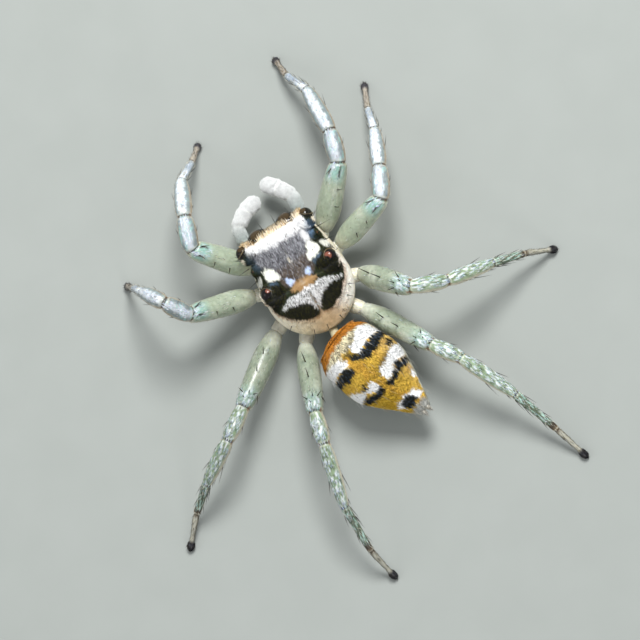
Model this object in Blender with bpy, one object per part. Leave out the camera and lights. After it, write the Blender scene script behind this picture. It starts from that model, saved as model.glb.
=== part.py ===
"""A jumping spider of the genus Phintella, life size, standing on eight feet.

The body's own frame has the face toward -Y, the animal's left toward +X and the floor at height 0.
Its zero lies below the middle of the rear eyes. At the end everything hangs on one empty, which
moves the animal so that the middle of its box stands over the world's origin.
"""

import math

import bmesh
import bpy
from mathutils import Vector

# Units and clearances, in millimetres
MM = 0.001
GAP = 0.03

# Carapace: along the body (y), heights (z) and half widths, in millimetres
CARAPACE_FRONT = -1.00
CARAPACE_REAR = 0.98
CARAPACE_BROADEST = 0.15
CARAPACE_HALF_WIDTH = 0.82
CARAPACE_FRONT_NARROWING = 0.20
CARAPACE_EDGE_HEIGHT = 0.68
CARAPACE_UNDERSIDE = 0.60
CARAPACE_TOP = ((-1.00, 1.31), (-0.80, 1.38), (-0.40, 1.41), (0.05, 1.42),
                (0.35, 1.33), (0.65, 1.10), (0.85, 0.87), (0.98, 0.72))
CARAPACE_SQUARENESS = ((-1.00, 3.4), (0.10, 3.0), (0.98, 2.2))
CARAPACE_LEAN = 0.14
CARAPACE_LOW_POWER = 0.7
CARAPACE_LOW_INSET = 0.3
CARAPACE_FACE_INSETS = ((0.0, 0.13), (0.02, 0.07), (0.06, 0.025), (0.13, 0.0))
CARAPACE_REAR_FACE = 0.02
CARAPACE_SIDES = 28
CARAPACE_HEAD_RINGS = 9
CARAPACE_REAR_ANGLES = (15, 28, 40, 51, 61, 70, 78, 84)

# Eyes: half distance, place along the body, height and radius, in millimetres
EYES = {
    "front_middle": (0.290, -0.930, 1.050, 0.245),
    "front_side": (0.645, -0.890, 1.260, 0.130),
    "small_middle": (0.665, -0.500, 1.265, 0.035),
    "rear": (0.635, -0.010, 1.360, 0.130),
}
EYE_FACETS = {"front_middle": (16, 10), "front_side": (12, 8), "small_middle": (8, 5), "rear": (12, 8)}
SOCKET_GAP = {"front_middle": GAP, "front_side": GAP, "small_middle": 0.01, "rear": GAP}

# Swellings that carry the side and rear eyes: the same four sizes
MOUND_FACETS = (14, 9)
EYE_MOUNDS = {
    "front_side": (0.560, -0.820, 1.190, 0.190),
    "small_middle": (0.610, -0.490, 1.230, 0.085),
    "rear": (0.585, 0.020, 1.270, 0.200),
}

# Underside: stations are (place along the body, half width)
STERNUM_WIDTHS = ((-0.48, 0.13), (-0.36, 0.21), (0.00, 0.27), (0.30, 0.26), (0.55, 0.18), (0.70, 0.07))
STERNUM_HEIGHTS = (0.27, 0.57)
MOUTH_WIDTHS = ((-0.72, 0.17), (-0.68, 0.21), (-0.57, 0.22), (-0.52, 0.18))
MOUTH_HEIGHTS = (0.28, 0.46)
UNDERSIDE_POWER = 0.7
UNDERSIDE_END_SHARE = 0.75
UNDERSIDE_SIDES = 14

# Chelicerae: stations are (height, forward shift, half width, half depth)
CHELICERA_PLACE = (0.150, -0.880)
CHELICERA_STATIONS = ((0.57, 0.00, 0.110, 0.110), (0.50, 0.02, 0.122, 0.128), (0.36, 0.02, 0.118, 0.120),
                      (0.27, 0.01, 0.095, 0.095), (0.22, 0.00, 0.060, 0.065))
CHELICERA_SIDES = 12
FANG_ROOT = (0.170, -0.870, 0.245)
FANG_DIRECTION = (-0.55, 0.45, -0.45)
FANG_RADIUS = 0.032
FANG_LENGTH = 0.150

# Pedicel and abdomen
PEDICEL_PATH = ((0.00, 0.62, 0.46), (0.02, 0.95, 0.53), (0.10, 1.26, 0.68))
PEDICEL_RADIUS = 0.085
ABDOMEN_FRONT = (0.120, 1.145)
ABDOMEN_SWING = 21.4
ABDOMEN_LENGTH = 2.02
ABDOMEN_HALF_WIDTH = 0.64
ABDOMEN_TALL = 0.84
ABDOMEN_FRONT_ROUND = 0.55
ABDOMEN_FRONT_POWER = 2.4
ABDOMEN_TAPER = ((0.55, 0.96), (0.80, 1.00), (1.05, 0.99), (1.40, 0.77), (1.70, 0.52), (1.90, 0.36), (2.02, 0.25))
ABDOMEN_AXIS_HEIGHT = ((0.00, 0.79), (0.60, 0.77), (1.20, 0.71), (2.02, 0.62))
ABDOMEN_RINGS = (0.012, 0.05, 0.12, 0.23, 0.38, 0.55, 0.75, 0.95, 1.15, 1.35, 1.55, 1.75, 1.90, 1.99, 2.02)
ABDOMEN_SIDES = 24
SPINNERET_BASE = (0.105, 0.085)
SPINNERET_BASE_STATIONS = ((0.0, 1.0), (0.03, 0.95), (0.05, 0.75))
SPINNERET_BASE_SIDES = 12
SPINNERET_SUNK = 0.02
SPINNERET_FAN = (0.12, 0.15)
# Each row of two spinnerets: height of its roots, half distance between them, radius, length
SPINNERET_ROWS = ((0.045, 0.045, 0.034, 0.110), (0.0, 0.036, 0.024, 0.077), (-0.045, 0.045, 0.034, 0.110))

# Palps: bends of each palp, outward from the middle plane, along the body and up
PALP_PATHS = {
    "left": ((0.34, -0.72, 0.38), (0.57, -1.20, 0.50), (0.55, -1.46, 0.56), (0.31, -1.66, 0.52), (0.00, -1.76, 0.42)),
    "right": ((0.34, -0.72, 0.38), (0.55, -1.18, 0.50), (0.59, -1.44, 0.56), (0.46, -1.68, 0.52), (0.24, -1.95, 0.42)),
}
PALP_RADII = (0.080, 0.118, 0.118, 0.138, 0.138)
PALP_MIDDLE_SWELL = (0.012, 0.006)
PALP_TIP_SHARES = ((0.70, 1.0), (0.88, 0.86), (1.0, 0.45))
PALP_SIDES = 10

# Legs, by pair from the front: where the coxa leaves the sternum, and the lengths of
# femur, patella, tibia, metatarsus and tarsus
COXA_BASE = {1: (0.30, -0.38), 2: (0.34, -0.10), 3: (0.34, 0.22), 4: (0.27, 0.54)}
COXA_HEIGHT = 0.42
COXA_SUNK = 0.08
LEG_LENGTHS = {
    1: (1.32, 0.59, 0.99, 0.61, 0.48),
    2: (1.37, 0.61, 0.83, 0.56, 0.56),
    3: (1.57, 0.66, 0.93, 0.71, 0.60),
    4: (1.56, 0.59, 1.16, 0.98, 0.65),
}
LEG_RADII = {
    1: {"coxa": 0.140, "femur": 0.225, "patella": 0.165, "tibia": 0.162, "metatarsus": 0.095, "tarsus": 0.062},
    2: {"coxa": 0.140, "femur": 0.215, "patella": 0.163, "tibia": 0.152, "metatarsus": 0.092, "tarsus": 0.060},
    3: {"coxa": 0.145, "femur": 0.218, "patella": 0.145, "tibia": 0.135, "metatarsus": 0.088, "tarsus": 0.058},
    4: {"coxa": 0.145, "femur": 0.205, "patella": 0.142, "tibia": 0.134, "metatarsus": 0.086, "tarsus": 0.056},
}
SEGMENTS = ("femur", "patella", "tibia", "metatarsus", "tarsus")

# The pose. Root is the femur's root: outward, along the body, up. Each segment then has its
# azimuth, from straight ahead toward its own side, and its elevation. The tarsus comes down to the floor.
POSE = {
    "right_1": {"root": (0.73, -0.65, 0.41), "turns": ((49, 27), (15, -3), (1, -19), (-22, -32)), "tarsus": -6},
    "right_2": {"root": (0.84, -0.28, 0.41), "turns": ((83, 36), (25, -14), (20, -26), (9, -36)), "tarsus": 18},
    "right_3": {"root": (0.90, 0.36, 0.41), "turns": ((143, 44), (110, -16), (95, -28), (98, -37)), "tarsus": 107},
    "right_4": {"root": (0.62, 0.93, 0.42), "turns": ((151, 19), (147, 8), (155, -18), (162, -21)), "tarsus": 164},
    "left_1": {"root": (0.69, -0.74, 0.41), "turns": ((44, 41), (-22, 22), (-18, -41), (-46, -47)), "tarsus": -39},
    "left_2": {"root": (0.92, -0.31, 0.41), "turns": ((81, 35), (35, 50), (29, -47), (30, -58)), "tarsus": 30},
    "left_3": {"root": (0.93, 0.45, 0.41), "turns": ((129, 19), (127, 15), (117, -25), (120, -41)), "tarsus": 136},
    "left_4": {"root": (0.60, 0.92, 0.42), "turns": ((162, 30), (166, 7), (165, -14), (177, -32)), "tarsus": -170},
}
TARSUS_TIP_HEIGHT = 0.07
FOOT_FLAT = 0.014

# Swelling of each segment along its length: (share of the length, share of the radius)
SWELL = {
    "coxa": ((0.0, 0.85), (0.30, 1.00), (0.70, 1.00), (1.0, 0.86)),
    "femur": ((0.0, 0.58), (0.10, 0.78), (0.25, 0.97), (0.42, 1.00), (0.65, 0.94), (0.86, 0.84), (1.0, 0.70)),
    "patella": ((0.0, 0.84), (0.25, 1.00), (0.72, 1.00), (1.0, 0.82)),
    "tibia": ((0.0, 0.78), (0.16, 0.96), (0.42, 1.00), (0.78, 0.88), (1.0, 0.66)),
    "metatarsus": ((0.0, 1.06), (0.15, 1.04), (0.50, 0.92), (0.85, 0.86), (1.0, 0.76)),
    "tarsus": ((0.0, 1.00), (0.12, 1.04), (0.50, 0.90), (0.80, 0.85), (0.88, 1.10),
               (0.96, 1.22), (1.04, 1.12), (1.10, 0.80), (1.13, 0.40)),
}
SEGMENT_TALL = {"coxa": 1.0, "femur": 1.10, "patella": 1.0, "tibia": 1.0, "metatarsus": 1.0, "tarsus": 1.0}
LEG_SIDES = 10
TILT_REACH = (2.3, 0.48)

# Leg spines: share of the segment's length, angle round it (0 ahead, 90 on top, 180 behind),
# lean from the segment's own direction, and length in millimetres
LEG_SPINES = {
    "femur": ((0.36, 90, 88, 0.32), (0.58, 90, 82, 0.32), (0.80, 100, 52, 0.28),
              (0.78, 35, 50, 0.26), (0.78, 150, 50, 0.26)),
    "patella": ((0.50, 5, 48, 0.20), (0.50, 175, 48, 0.20)),
    "tibia": ((0.28, -50, 42, 0.30), (0.34, -125, 42, 0.30), (0.56, 0, 45, 0.24),
              (0.60, 180, 45, 0.24), (0.72, -60, 38, 0.28), (0.76, -120, 38, 0.28)),
    "metatarsus": ((0.14, -40, 36, 0.28), (0.20, -140, 36, 0.28), (0.62, -30, 34, 0.24), (0.66, -150, 34, 0.24)),
}
SPINE_RADIUS = 0.021
SPINE_SUNK = 0.045
SPINE_SIDES = 5
SPINE_TIP_SHARE = 0.25

# Surface of each kind of piece: colour, roughness
FINISHES = {
    "carapace": ((0.62, 0.58, 0.50), 0.50),
    "underside": ((0.66, 0.62, 0.46), 0.45),
    "lens": ((0.010, 0.007, 0.006), 0.06),
    "amber_lens": ((0.050, 0.022, 0.010), 0.06),
    "chelicera": ((0.58, 0.46, 0.26), 0.35),
    "palp": ((0.86, 0.87, 0.84), 0.70),
    "abdomen": ((0.62, 0.34, 0.06), 0.60),
    "spinnerets": ((0.55, 0.55, 0.48), 0.50),
    "femur": ((0.62, 0.68, 0.55), 0.35),
    "distal": ((0.58, 0.66, 0.62), 0.35),
    "foot": ((0.40, 0.44, 0.38), 0.45),
}

UP = Vector((0.0, 0.0, 1.0))


def clear_scene():
    for item in list(bpy.data.objects):
        bpy.data.objects.remove(item, do_unlink=True)


def new_collection(name):
    collection = bpy.data.collections.new(name)
    bpy.context.scene.collection.children.link(collection)
    return collection


def between(stations, place):
    """Value at a place between named stations, on a smooth curve through them."""
    if place <= stations[0][0]:
        return stations[0][1]
    if place >= stations[-1][0]:
        return stations[-1][1]
    last = len(stations) - 1
    index = max(i for i in range(last) if stations[i][0] <= place)

    def slope(i):
        low, high = max(i - 1, 0), min(i + 1, last)
        return (stations[high][1] - stations[low][1]) / (stations[high][0] - stations[low][0])

    (start, first), (end, second) = stations[index], stations[index + 1]
    span = end - start
    t = (place - start) / span
    ease = t * t * (3 - 2 * t)
    bend = span * (slope(index) * t * (1 - t) ** 2 - slope(index + 1) * t * t * (1 - t))
    return first + (second - first) * ease + bend


def curve_power(value, power):
    return math.copysign(abs(value) ** power, value)


def mesh_object(name, shape):
    """Object from a bmesh, with the faces pointing out and the sizes turned to metres."""
    bmesh.ops.recalc_face_normals(shape, faces=shape.faces)
    bmesh.ops.scale(shape, vec=(MM, MM, MM), verts=shape.verts)
    mesh = bpy.data.meshes.new(name)
    shape.to_mesh(mesh)
    shape.free()
    made = bpy.data.objects.new(name, mesh)
    bpy.context.scene.collection.objects.link(made)
    return made


def loft(name, rings):
    """Closed solid through rings of equal count, with a flat face on each end."""
    shape = bmesh.new()
    rows = [[shape.verts.new(point) for point in ring] for ring in rings]
    sides = len(rows[0])
    for row, following in zip(rows, rows[1:]):
        for i in range(sides):
            j = (i + 1) % sides
            shape.faces.new((row[i], row[j], following[j], following[i]))
    shape.faces.new(list(reversed(rows[0])))
    shape.faces.new(rows[-1])
    return mesh_object(name, shape)


def ball(name, centre, radius, facets=(12, 8)):
    shape = bmesh.new()
    bmesh.ops.create_uvsphere(shape, u_segments=facets[0], v_segments=facets[1], radius=radius)
    bmesh.ops.translate(shape, vec=centre, verts=shape.verts)
    return mesh_object(name, shape)


def spike(name, root, direction, length, radius, sides=6, tip_share=0.15):
    """Tapered cone that starts at its root and points along the direction."""
    shape = bmesh.new()
    bmesh.ops.create_cone(shape, cap_ends=True, segments=sides, radius1=radius,
                          radius2=radius * tip_share, depth=length)
    bmesh.ops.translate(shape, vec=(0, 0, length / 2), verts=shape.verts)
    turn = direction.normalized().to_track_quat("Z", "Y").to_matrix()
    bmesh.ops.rotate(shape, cent=(0, 0, 0), matrix=turn, verts=shape.verts)
    bmesh.ops.translate(shape, vec=root, verts=shape.verts)
    return mesh_object(name, shape)


def keep_largest(mesh):
    """Leaves only the closed surface with the most faces."""
    shape = bmesh.new()
    shape.from_mesh(mesh)
    unseen = set(shape.verts)
    islands = []
    while unseen:
        island, edge_of_search = set(), [unseen.pop()]
        while edge_of_search:
            vertex = edge_of_search.pop()
            island.add(vertex)
            for edge in vertex.link_edges:
                other = edge.other_vert(vertex)
                if other in unseen:
                    unseen.remove(other)
                    edge_of_search.append(other)
        islands.append(island)
    largest = max(islands, key=len)
    loose = [vertex for vertex in shape.verts if vertex not in largest]
    bmesh.ops.delete(shape, geom=loose, context="VERTS")
    shape.to_mesh(mesh)
    shape.free()


def combine(base, others, operation):
    """Joins the others to the base, or cuts them from it, and removes them."""
    operands = new_collection("operands")
    for other in others:
        bpy.context.scene.collection.objects.unlink(other)
        operands.objects.link(other)
        other.hide_render = True
        other.display_type = "WIRE"
    boolean = base.modifiers.new(operation.lower(), "BOOLEAN")
    boolean.operation = operation
    boolean.operand_type = "COLLECTION"
    boolean.collection = operands
    boolean.solver = "EXACT"
    evaluated = base.evaluated_get(bpy.context.evaluated_depsgraph_get())
    mesh = bpy.data.meshes.new_from_object(evaluated)
    base.modifiers.clear()
    base.data = mesh
    keep_largest(mesh)
    for other in others:
        bpy.data.objects.remove(other, do_unlink=True)
    bpy.data.collections.remove(operands)
    return base


def mirrored(point, side):
    """Point given outward from the middle plane, for the left or the right side."""
    sign = 1 if side == "left" else -1
    return Vector((sign * point[0], point[1], point[2]))


# Carapace and eyes

def carapace_half_width(y):
    if y < CARAPACE_BROADEST:
        share = (CARAPACE_BROADEST - y) / (CARAPACE_BROADEST - CARAPACE_FRONT)
        return CARAPACE_HALF_WIDTH - CARAPACE_FRONT_NARROWING * share ** 2
    share = (y - CARAPACE_BROADEST) / (CARAPACE_REAR - CARAPACE_BROADEST)
    return CARAPACE_HALF_WIDTH * math.sqrt(max(0.0, 1 - share ** 2))


def carapace_ring(y, inset, grow):
    half = carapace_half_width(y) - inset + grow
    top = between(CARAPACE_TOP, y) - inset + grow
    bottom = CARAPACE_UNDERSIDE + CARAPACE_LOW_INSET * inset - grow
    power = 2 / between(CARAPACE_SQUARENESS, y)
    ring = []
    for i in range(CARAPACE_SIDES):
        angle = 2 * math.pi * i / CARAPACE_SIDES
        across, rise = math.cos(angle), math.sin(angle)
        if rise >= 0:
            height = curve_power(rise, power)
            lean = 1 - CARAPACE_LEAN * height
            x = half * lean * curve_power(across, power)
            z = CARAPACE_EDGE_HEIGHT + (top - CARAPACE_EDGE_HEIGHT) * height
        else:
            x = half * curve_power(across, CARAPACE_LOW_POWER)
            z = CARAPACE_EDGE_HEIGHT + (CARAPACE_EDGE_HEIGHT - bottom) * curve_power(rise, CARAPACE_LOW_POWER)
        ring.append(Vector((x, y, z)))
    return ring


def carapace_loft(name, grow=0.0):
    """High square head in front, falling slope behind, widest at the edge."""
    rings = [carapace_ring(CARAPACE_FRONT + back - grow, inset, grow) for back, inset in CARAPACE_FACE_INSETS]
    head_start = CARAPACE_FRONT + CARAPACE_FACE_INSETS[-1][0]
    for i in range(1, CARAPACE_HEAD_RINGS + 1):
        y = head_start + (CARAPACE_BROADEST - head_start) * i / CARAPACE_HEAD_RINGS
        rings.append(carapace_ring(y, 0.0, grow))
    for angle in CARAPACE_REAR_ANGLES:
        y = CARAPACE_BROADEST + (CARAPACE_REAR - CARAPACE_BROADEST) * math.sin(math.radians(angle))
        rings.append(carapace_ring(y, 0.0, grow))
    rings.append(carapace_ring(CARAPACE_REAR + grow, 0.0, grow + CARAPACE_REAR_FACE))
    return loft(name, rings)


def make_carapace():
    body = carapace_loft("carapace")
    mounds, sockets = [], []
    for side in ("left", "right"):
        for kind, (out, y, z, radius) in EYE_MOUNDS.items():
            mounds.append(ball("mound", mirrored((out, y, z), side), radius, MOUND_FACETS))
        for kind, (out, y, z, radius) in EYES.items():
            centre = mirrored((out, y, z), side)
            sockets.append(ball("socket", centre, radius + SOCKET_GAP[kind], EYE_FACETS[kind]))
    combine(body, mounds, "UNION")
    return combine(body, sockets, "DIFFERENCE")


def make_eyes():
    for side in ("left", "right"):
        for kind, (out, y, z, radius) in EYES.items():
            finish = "amber_lens" if kind == "front_middle" else "lens"
            eye = ball(f"eye_{kind}_{side}", mirrored((out, y, z), side), radius, EYE_FACETS[kind])
            yield eye, finish


# Underside: sternum, mouthparts, chelicerae

def flat_loft(name, widths, heights, grow=0.0):
    """Rounded slab along the body from its half widths and its two heights."""
    low, high = heights[0] - grow, heights[1] + grow
    middle, half_height = (low + high) / 2, (high - low) / 2
    first, last = widths[0][0], widths[-1][0]
    rings = []
    for y, half in widths:
        share = UNDERSIDE_END_SHARE if y in (first, last) else 1.0
        y += -grow if y == first else grow if y == last else 0.0
        ring = []
        for i in range(UNDERSIDE_SIDES):
            angle = 2 * math.pi * i / UNDERSIDE_SIDES
            x = (half + grow) * curve_power(math.cos(angle), UNDERSIDE_POWER)
            z = middle + half_height * share * curve_power(math.sin(angle), UNDERSIDE_POWER)
            ring.append(Vector((x, y, z)))
        rings.append(ring)
    return loft(name, rings)


def make_chelicera(side):
    out, y = CHELICERA_PLACE
    rings = []
    for height, forward, half_width, half_depth in CHELICERA_STATIONS:
        ring = []
        for i in range(CHELICERA_SIDES):
            angle = 2 * math.pi * i / CHELICERA_SIDES
            place = (out + half_width * math.cos(angle), y - forward + half_depth * math.sin(angle), height)
            ring.append(mirrored(place, side))
        rings.append(ring)
    body = loft(f"chelicera_{side}", rings)
    fang = spike("fang", mirrored(FANG_ROOT, side), mirrored(FANG_DIRECTION, side), FANG_LENGTH, FANG_RADIUS)
    return combine(body, [fang], "UNION")


# Pedicel, abdomen, spinnerets

def abdomen_axis():
    swing = math.radians(ABDOMEN_SWING)
    return Vector((-math.sin(swing), math.cos(swing), 0.0))


def abdomen_half_width(along):
    if along < ABDOMEN_FRONT_ROUND:
        ahead = (ABDOMEN_FRONT_ROUND - along) / ABDOMEN_FRONT_ROUND
        return ABDOMEN_HALF_WIDTH * ABDOMEN_TAPER[0][1] * math.sqrt(max(0.0, 1 - ahead ** ABDOMEN_FRONT_POWER))
    return ABDOMEN_HALF_WIDTH * between(ABDOMEN_TAPER, along)


def abdomen_loft(name, grow=0.0):
    axis = abdomen_axis()
    sideways = UP.cross(axis)
    rings = []
    for along in ABDOMEN_RINGS:
        half = abdomen_half_width(along) + grow
        reach = along - grow if along < ABDOMEN_FRONT_ROUND else along + grow
        centre = Vector((*ABDOMEN_FRONT, between(ABDOMEN_AXIS_HEIGHT, along))) + axis * reach
        ring = []
        for i in range(ABDOMEN_SIDES):
            angle = 2 * math.pi * i / ABDOMEN_SIDES
            lift = half * ABDOMEN_TALL * math.sin(angle)
            ring.append(centre + sideways * (half * math.cos(angle)) + UP * lift)
        rings.append(ring)
    return loft(name, rings)


def make_spinnerets():
    """Short collar behind the abdomen with six fingers fused to it."""
    axis = abdomen_axis()
    sideways = UP.cross(axis)
    half_width, half_height = SPINNERET_BASE
    root = Vector((*ABDOMEN_FRONT, ABDOMEN_AXIS_HEIGHT[-1][1])) + axis * (ABDOMEN_LENGTH + GAP)
    rings = []
    for along, share in SPINNERET_BASE_STATIONS:
        ring = []
        for i in range(SPINNERET_BASE_SIDES):
            angle = 2 * math.pi * i / SPINNERET_BASE_SIDES
            spread = sideways * (half_width * math.cos(angle)) + UP * (half_height * math.sin(angle))
            ring.append(root + axis * along + spread * share)
        rings.append(ring)
    collar = loft("spinnerets", rings)
    fan_out, fan_up = SPINNERET_FAN
    fingers = []
    for height, spread, radius, length in SPINNERET_ROWS:
        for sign in (-1, 1):
            start = root + axis * SPINNERET_SUNK + sideways * (sign * spread) + UP * height
            rise = math.copysign(fan_up, height) if height else 0.0
            direction = axis + sideways * (fan_out * sign) + UP * rise
            fingers.append(spike("finger", start, direction, length, radius, tip_share=0.6))
    return combine(collar, fingers, "UNION")


# Limbs

def direction_of(azimuth, elevation, side):
    azimuth, elevation = math.radians(azimuth), math.radians(elevation)
    ahead = -math.cos(azimuth) * math.cos(elevation)
    return mirrored((math.sin(azimuth) * math.cos(elevation), ahead, math.sin(elevation)), side)


def leg_joints(name):
    """Joints of one leg, from the coxa's base to the tip of the tarsus."""
    side, pair = name.split("_")
    lengths = LEG_LENGTHS[int(pair)]
    pose = POSE[name]
    joints = [mirrored((*COXA_BASE[int(pair)], COXA_HEIGHT), side), mirrored(pose["root"], side)]
    for length, (azimuth, elevation) in zip(lengths, pose["turns"]):
        joints.append(joints[-1] + direction_of(azimuth, elevation, side) * length)
    drop = joints[-1].z - TARSUS_TIP_HEIGHT
    down = -math.degrees(math.asin(drop / lengths[-1]))
    joints.append(joints[-1] + direction_of(pose["tarsus"], down, side) * lengths[-1])
    return joints


def tube_rings(start, end, radii, tall, start_plane, end_plane, sides, gap_ends=(GAP / 2, GAP / 2)):
    """Rings along one straight stretch. Near each end they tilt into that end's joint plane."""
    axis = (end - start).normalized()
    length = (end - start).length
    across = axis.cross(UP).normalized()
    rise = across.cross(axis)
    widest = max(radius for _, radius in radii)
    reach = min(TILT_REACH[0] * widest, TILT_REACH[1] * length)
    rings = []
    for share, radius in radii:
        near_start = max(0.0, 1 - share * length / reach)
        near_end = min(1.0, max(0.0, 1 - (1 - share) * length / reach))
        ring = []
        for i in range(sides):
            angle = 2 * math.pi * i / sides
            offset = across * (radius * math.cos(angle)) + rise * (radius * tall * math.sin(angle))
            slide = 0.0
            if start_plane is not None:
                slide += near_start * (gap_ends[0] - offset.dot(start_plane)) / axis.dot(start_plane)
            if end_plane is not None:
                slide -= near_end * (gap_ends[1] + offset.dot(end_plane)) / axis.dot(end_plane)
            ring.append(start + axis * (share * length + slide) + offset)
        rings.append(ring)
    return rings


def joint_planes(joints):
    """Unit normal of the plane that halves the bend at each joint."""
    runs = [(end - start).normalized() for start, end in zip(joints, joints[1:])]
    planes = [runs[0]]
    planes += [(before + after).normalized() for before, after in zip(runs, runs[1:])]
    return planes + [runs[-1]]


def swollen(segment, radius):
    return [(share, radius * swell) for share, swell in SWELL[segment]]


def segment_spines(segment, start, end, radius, side):
    """Spines of one leg segment, each with its root sunk in the surface."""
    axis = (end - start).normalized()
    across = axis.cross(UP).normalized()
    rise = across.cross(axis)
    ahead = across if side == "left" else -across
    spines = []
    for share, around, lean, length in LEG_SPINES[segment]:
        around, lean = math.radians(around), math.radians(lean)
        outward = ahead * math.cos(around) + rise * math.sin(around)
        surface = radius * between(SWELL[segment], share)
        root = start + (end - start) * share + outward * (surface - SPINE_SUNK)
        direction = axis * math.cos(lean) + outward * math.sin(lean)
        spines.append(spike("spine", root, direction, length + SPINE_SUNK, SPINE_RADIUS, SPINE_SIDES,
                            SPINE_TIP_SHARE))
    return spines


def make_leg(name):
    """Coxa, femur, patella, tibia and foot of one leg; the foot is metatarsus and tarsus."""
    side, pair = name.split("_")[0], int(name.split("_")[1])
    joints = leg_joints(name)
    planes = joint_planes(joints)
    radii = LEG_RADII[pair]
    inward = (joints[1] - joints[0]).normalized() * COXA_SUNK
    coxa_start = joints[0] - inward
    coxa = loft(f"leg_{name}_coxa", tube_rings(coxa_start, joints[1], swollen("coxa", radii["coxa"]),
                                               SEGMENT_TALL["coxa"], None, planes[1], LEG_SIDES))
    cutters = [carapace_loft("carapace_room", GAP), sternum_loft("sternum_room", GAP)]
    yield combine(coxa, cutters, "DIFFERENCE"), "underside", joints[0]
    for index, segment in enumerate(SEGMENTS[:3], start=1):
        rings = tube_rings(joints[index], joints[index + 1], swollen(segment, radii[segment]),
                           SEGMENT_TALL[segment], planes[index], planes[index + 1], LEG_SIDES)
        finish = "femur" if segment == "femur" else "distal"
        spines = segment_spines(segment, joints[index], joints[index + 1], radii[segment], side)
        yield combine(loft(f"leg_{name}_{segment}", rings), spines, "UNION"), finish, joints[index]
    metatarsus = tube_rings(joints[4], joints[5], swollen("metatarsus", radii["metatarsus"]),
                            SEGMENT_TALL["metatarsus"], planes[4], planes[5], LEG_SIDES, (GAP / 2, 0.0))
    tarsus = tube_rings(joints[5], joints[6], swollen("tarsus", radii["tarsus"]),
                        SEGMENT_TALL["tarsus"], planes[5], None, LEG_SIDES, (0.0, 0.0))
    rings = metatarsus + tarsus[1:]
    for ring in rings:
        for point in ring:
            if point.z < FOOT_FLAT:
                point.z = 0.0
    spines = segment_spines("metatarsus", joints[4], joints[5], radii["metatarsus"], side)
    yield combine(loft(f"leg_{name}_foot", rings), spines, "UNION"), "foot", joints[4]


def make_palp(side):
    """Arm (femur and patella) and tip (tibia and tarsus) of one palp."""
    joints = [mirrored(point, side) for point in PALP_PATHS[side]]
    planes = joint_planes(joints)
    for part, first in (("arm", 0), ("tip", 2)):
        rings = []
        for index in (first, first + 1):
            low, high = PALP_RADII[index], PALP_RADII[index + 1]
            swell, late_swell = PALP_MIDDLE_SWELL
            stretch = [(0.0, low), (0.35, (low + high) / 2 + swell), (0.70, high + late_swell), (1.0, high)]
            if index == len(joints) - 2:
                stretch = [(0.0, low), (0.35, high)] + [(share, high * part_of) for share, part_of in PALP_TIP_SHARES]
            middle = index == first + 1
            gaps = (0.0 if middle else GAP / 2, GAP / 2 if middle else 0.0)
            rings_here = tube_rings(joints[index], joints[index + 1], stretch, 1.0,
                                    planes[index], planes[index + 1], PALP_SIDES, gaps)
            rings += rings_here[1:] if middle else rings_here
        yield loft(f"palp_{part}_{side}", rings), "palp", joints[first]


def sternum_loft(name, grow=0.0):
    return flat_loft(name, STERNUM_WIDTHS, STERNUM_HEIGHTS, grow)


def make_pedicel():
    """Narrow stalk between the two halves of the body, cut clear of both."""
    joints = [Vector(point) for point in PEDICEL_PATH]
    planes = joint_planes(joints)
    radii = [(0.0, PEDICEL_RADIUS), (0.5, PEDICEL_RADIUS), (1.0, PEDICEL_RADIUS)]
    rings = tube_rings(joints[0], joints[1], radii, 1.0, None, planes[1], PALP_SIDES, (0.0, 0.0))
    rings += tube_rings(joints[1], joints[2], radii, 1.0, planes[1], None, PALP_SIDES, (0.0, 0.0))[1:]
    stalk = loft("pedicel", rings)
    cutters = [carapace_loft("carapace_room", GAP), sternum_loft("sternum_room", GAP),
               abdomen_loft("abdomen_room", GAP)]
    return combine(stalk, cutters, "DIFFERENCE")


# Assembly

def make_materials():
    materials = {}
    for name, (colour, roughness) in FINISHES.items():
        material = bpy.data.materials.new(name)
        material.use_nodes = True
        surface = material.node_tree.nodes["Principled BSDF"]
        surface.inputs["Base Color"].default_value = (*colour, 1.0)
        surface.inputs["Roughness"].default_value = roughness
        surface.inputs["Metallic"].default_value = 0.0
        material.diffuse_color = (*colour, 1.0)
        materials[name] = material
    return materials


def make_pieces():
    """Every piece of the animal, with its finish and the point that it grows from."""
    middle = Vector((0.0, 0.0, CARAPACE_EDGE_HEIGHT))
    yield make_carapace(), "carapace", middle
    for eye, finish in make_eyes():
        yield eye, finish, middle
    yield sternum_loft("sternum"), "underside", middle
    yield flat_loft("mouthparts", MOUTH_WIDTHS, MOUTH_HEIGHTS), "underside", middle
    yield make_pedicel(), "underside", Vector(PEDICEL_PATH[0])
    yield abdomen_loft("abdomen"), "abdomen", Vector(PEDICEL_PATH[-1])
    yield make_spinnerets(), "spinnerets", Vector(PEDICEL_PATH[-1])
    for side in ("left", "right"):
        yield make_chelicera(side), "chelicera", mirrored((*CHELICERA_PLACE, CHELICERA_STATIONS[0][0]), side)
        yield from make_palp(side)
    for name in POSE:
        yield from make_leg(name)


def move_origin(piece, origin):
    """Puts the object's own origin at a point, with its surface left where it is."""
    for vertex in piece.data.vertices:
        vertex.co -= origin * MM
    piece.location = origin * MM


def centre_on_floor(pieces, holder):
    """Moves the holder so that the middle of the whole box stands over the origin."""
    corners = [piece.location + vertex.co for piece in pieces for vertex in piece.data.vertices]
    for axis in (0, 1):
        places = [corner[axis] for corner in corners]
        holder.location[axis] = -(min(places) + max(places)) / 2


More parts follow.
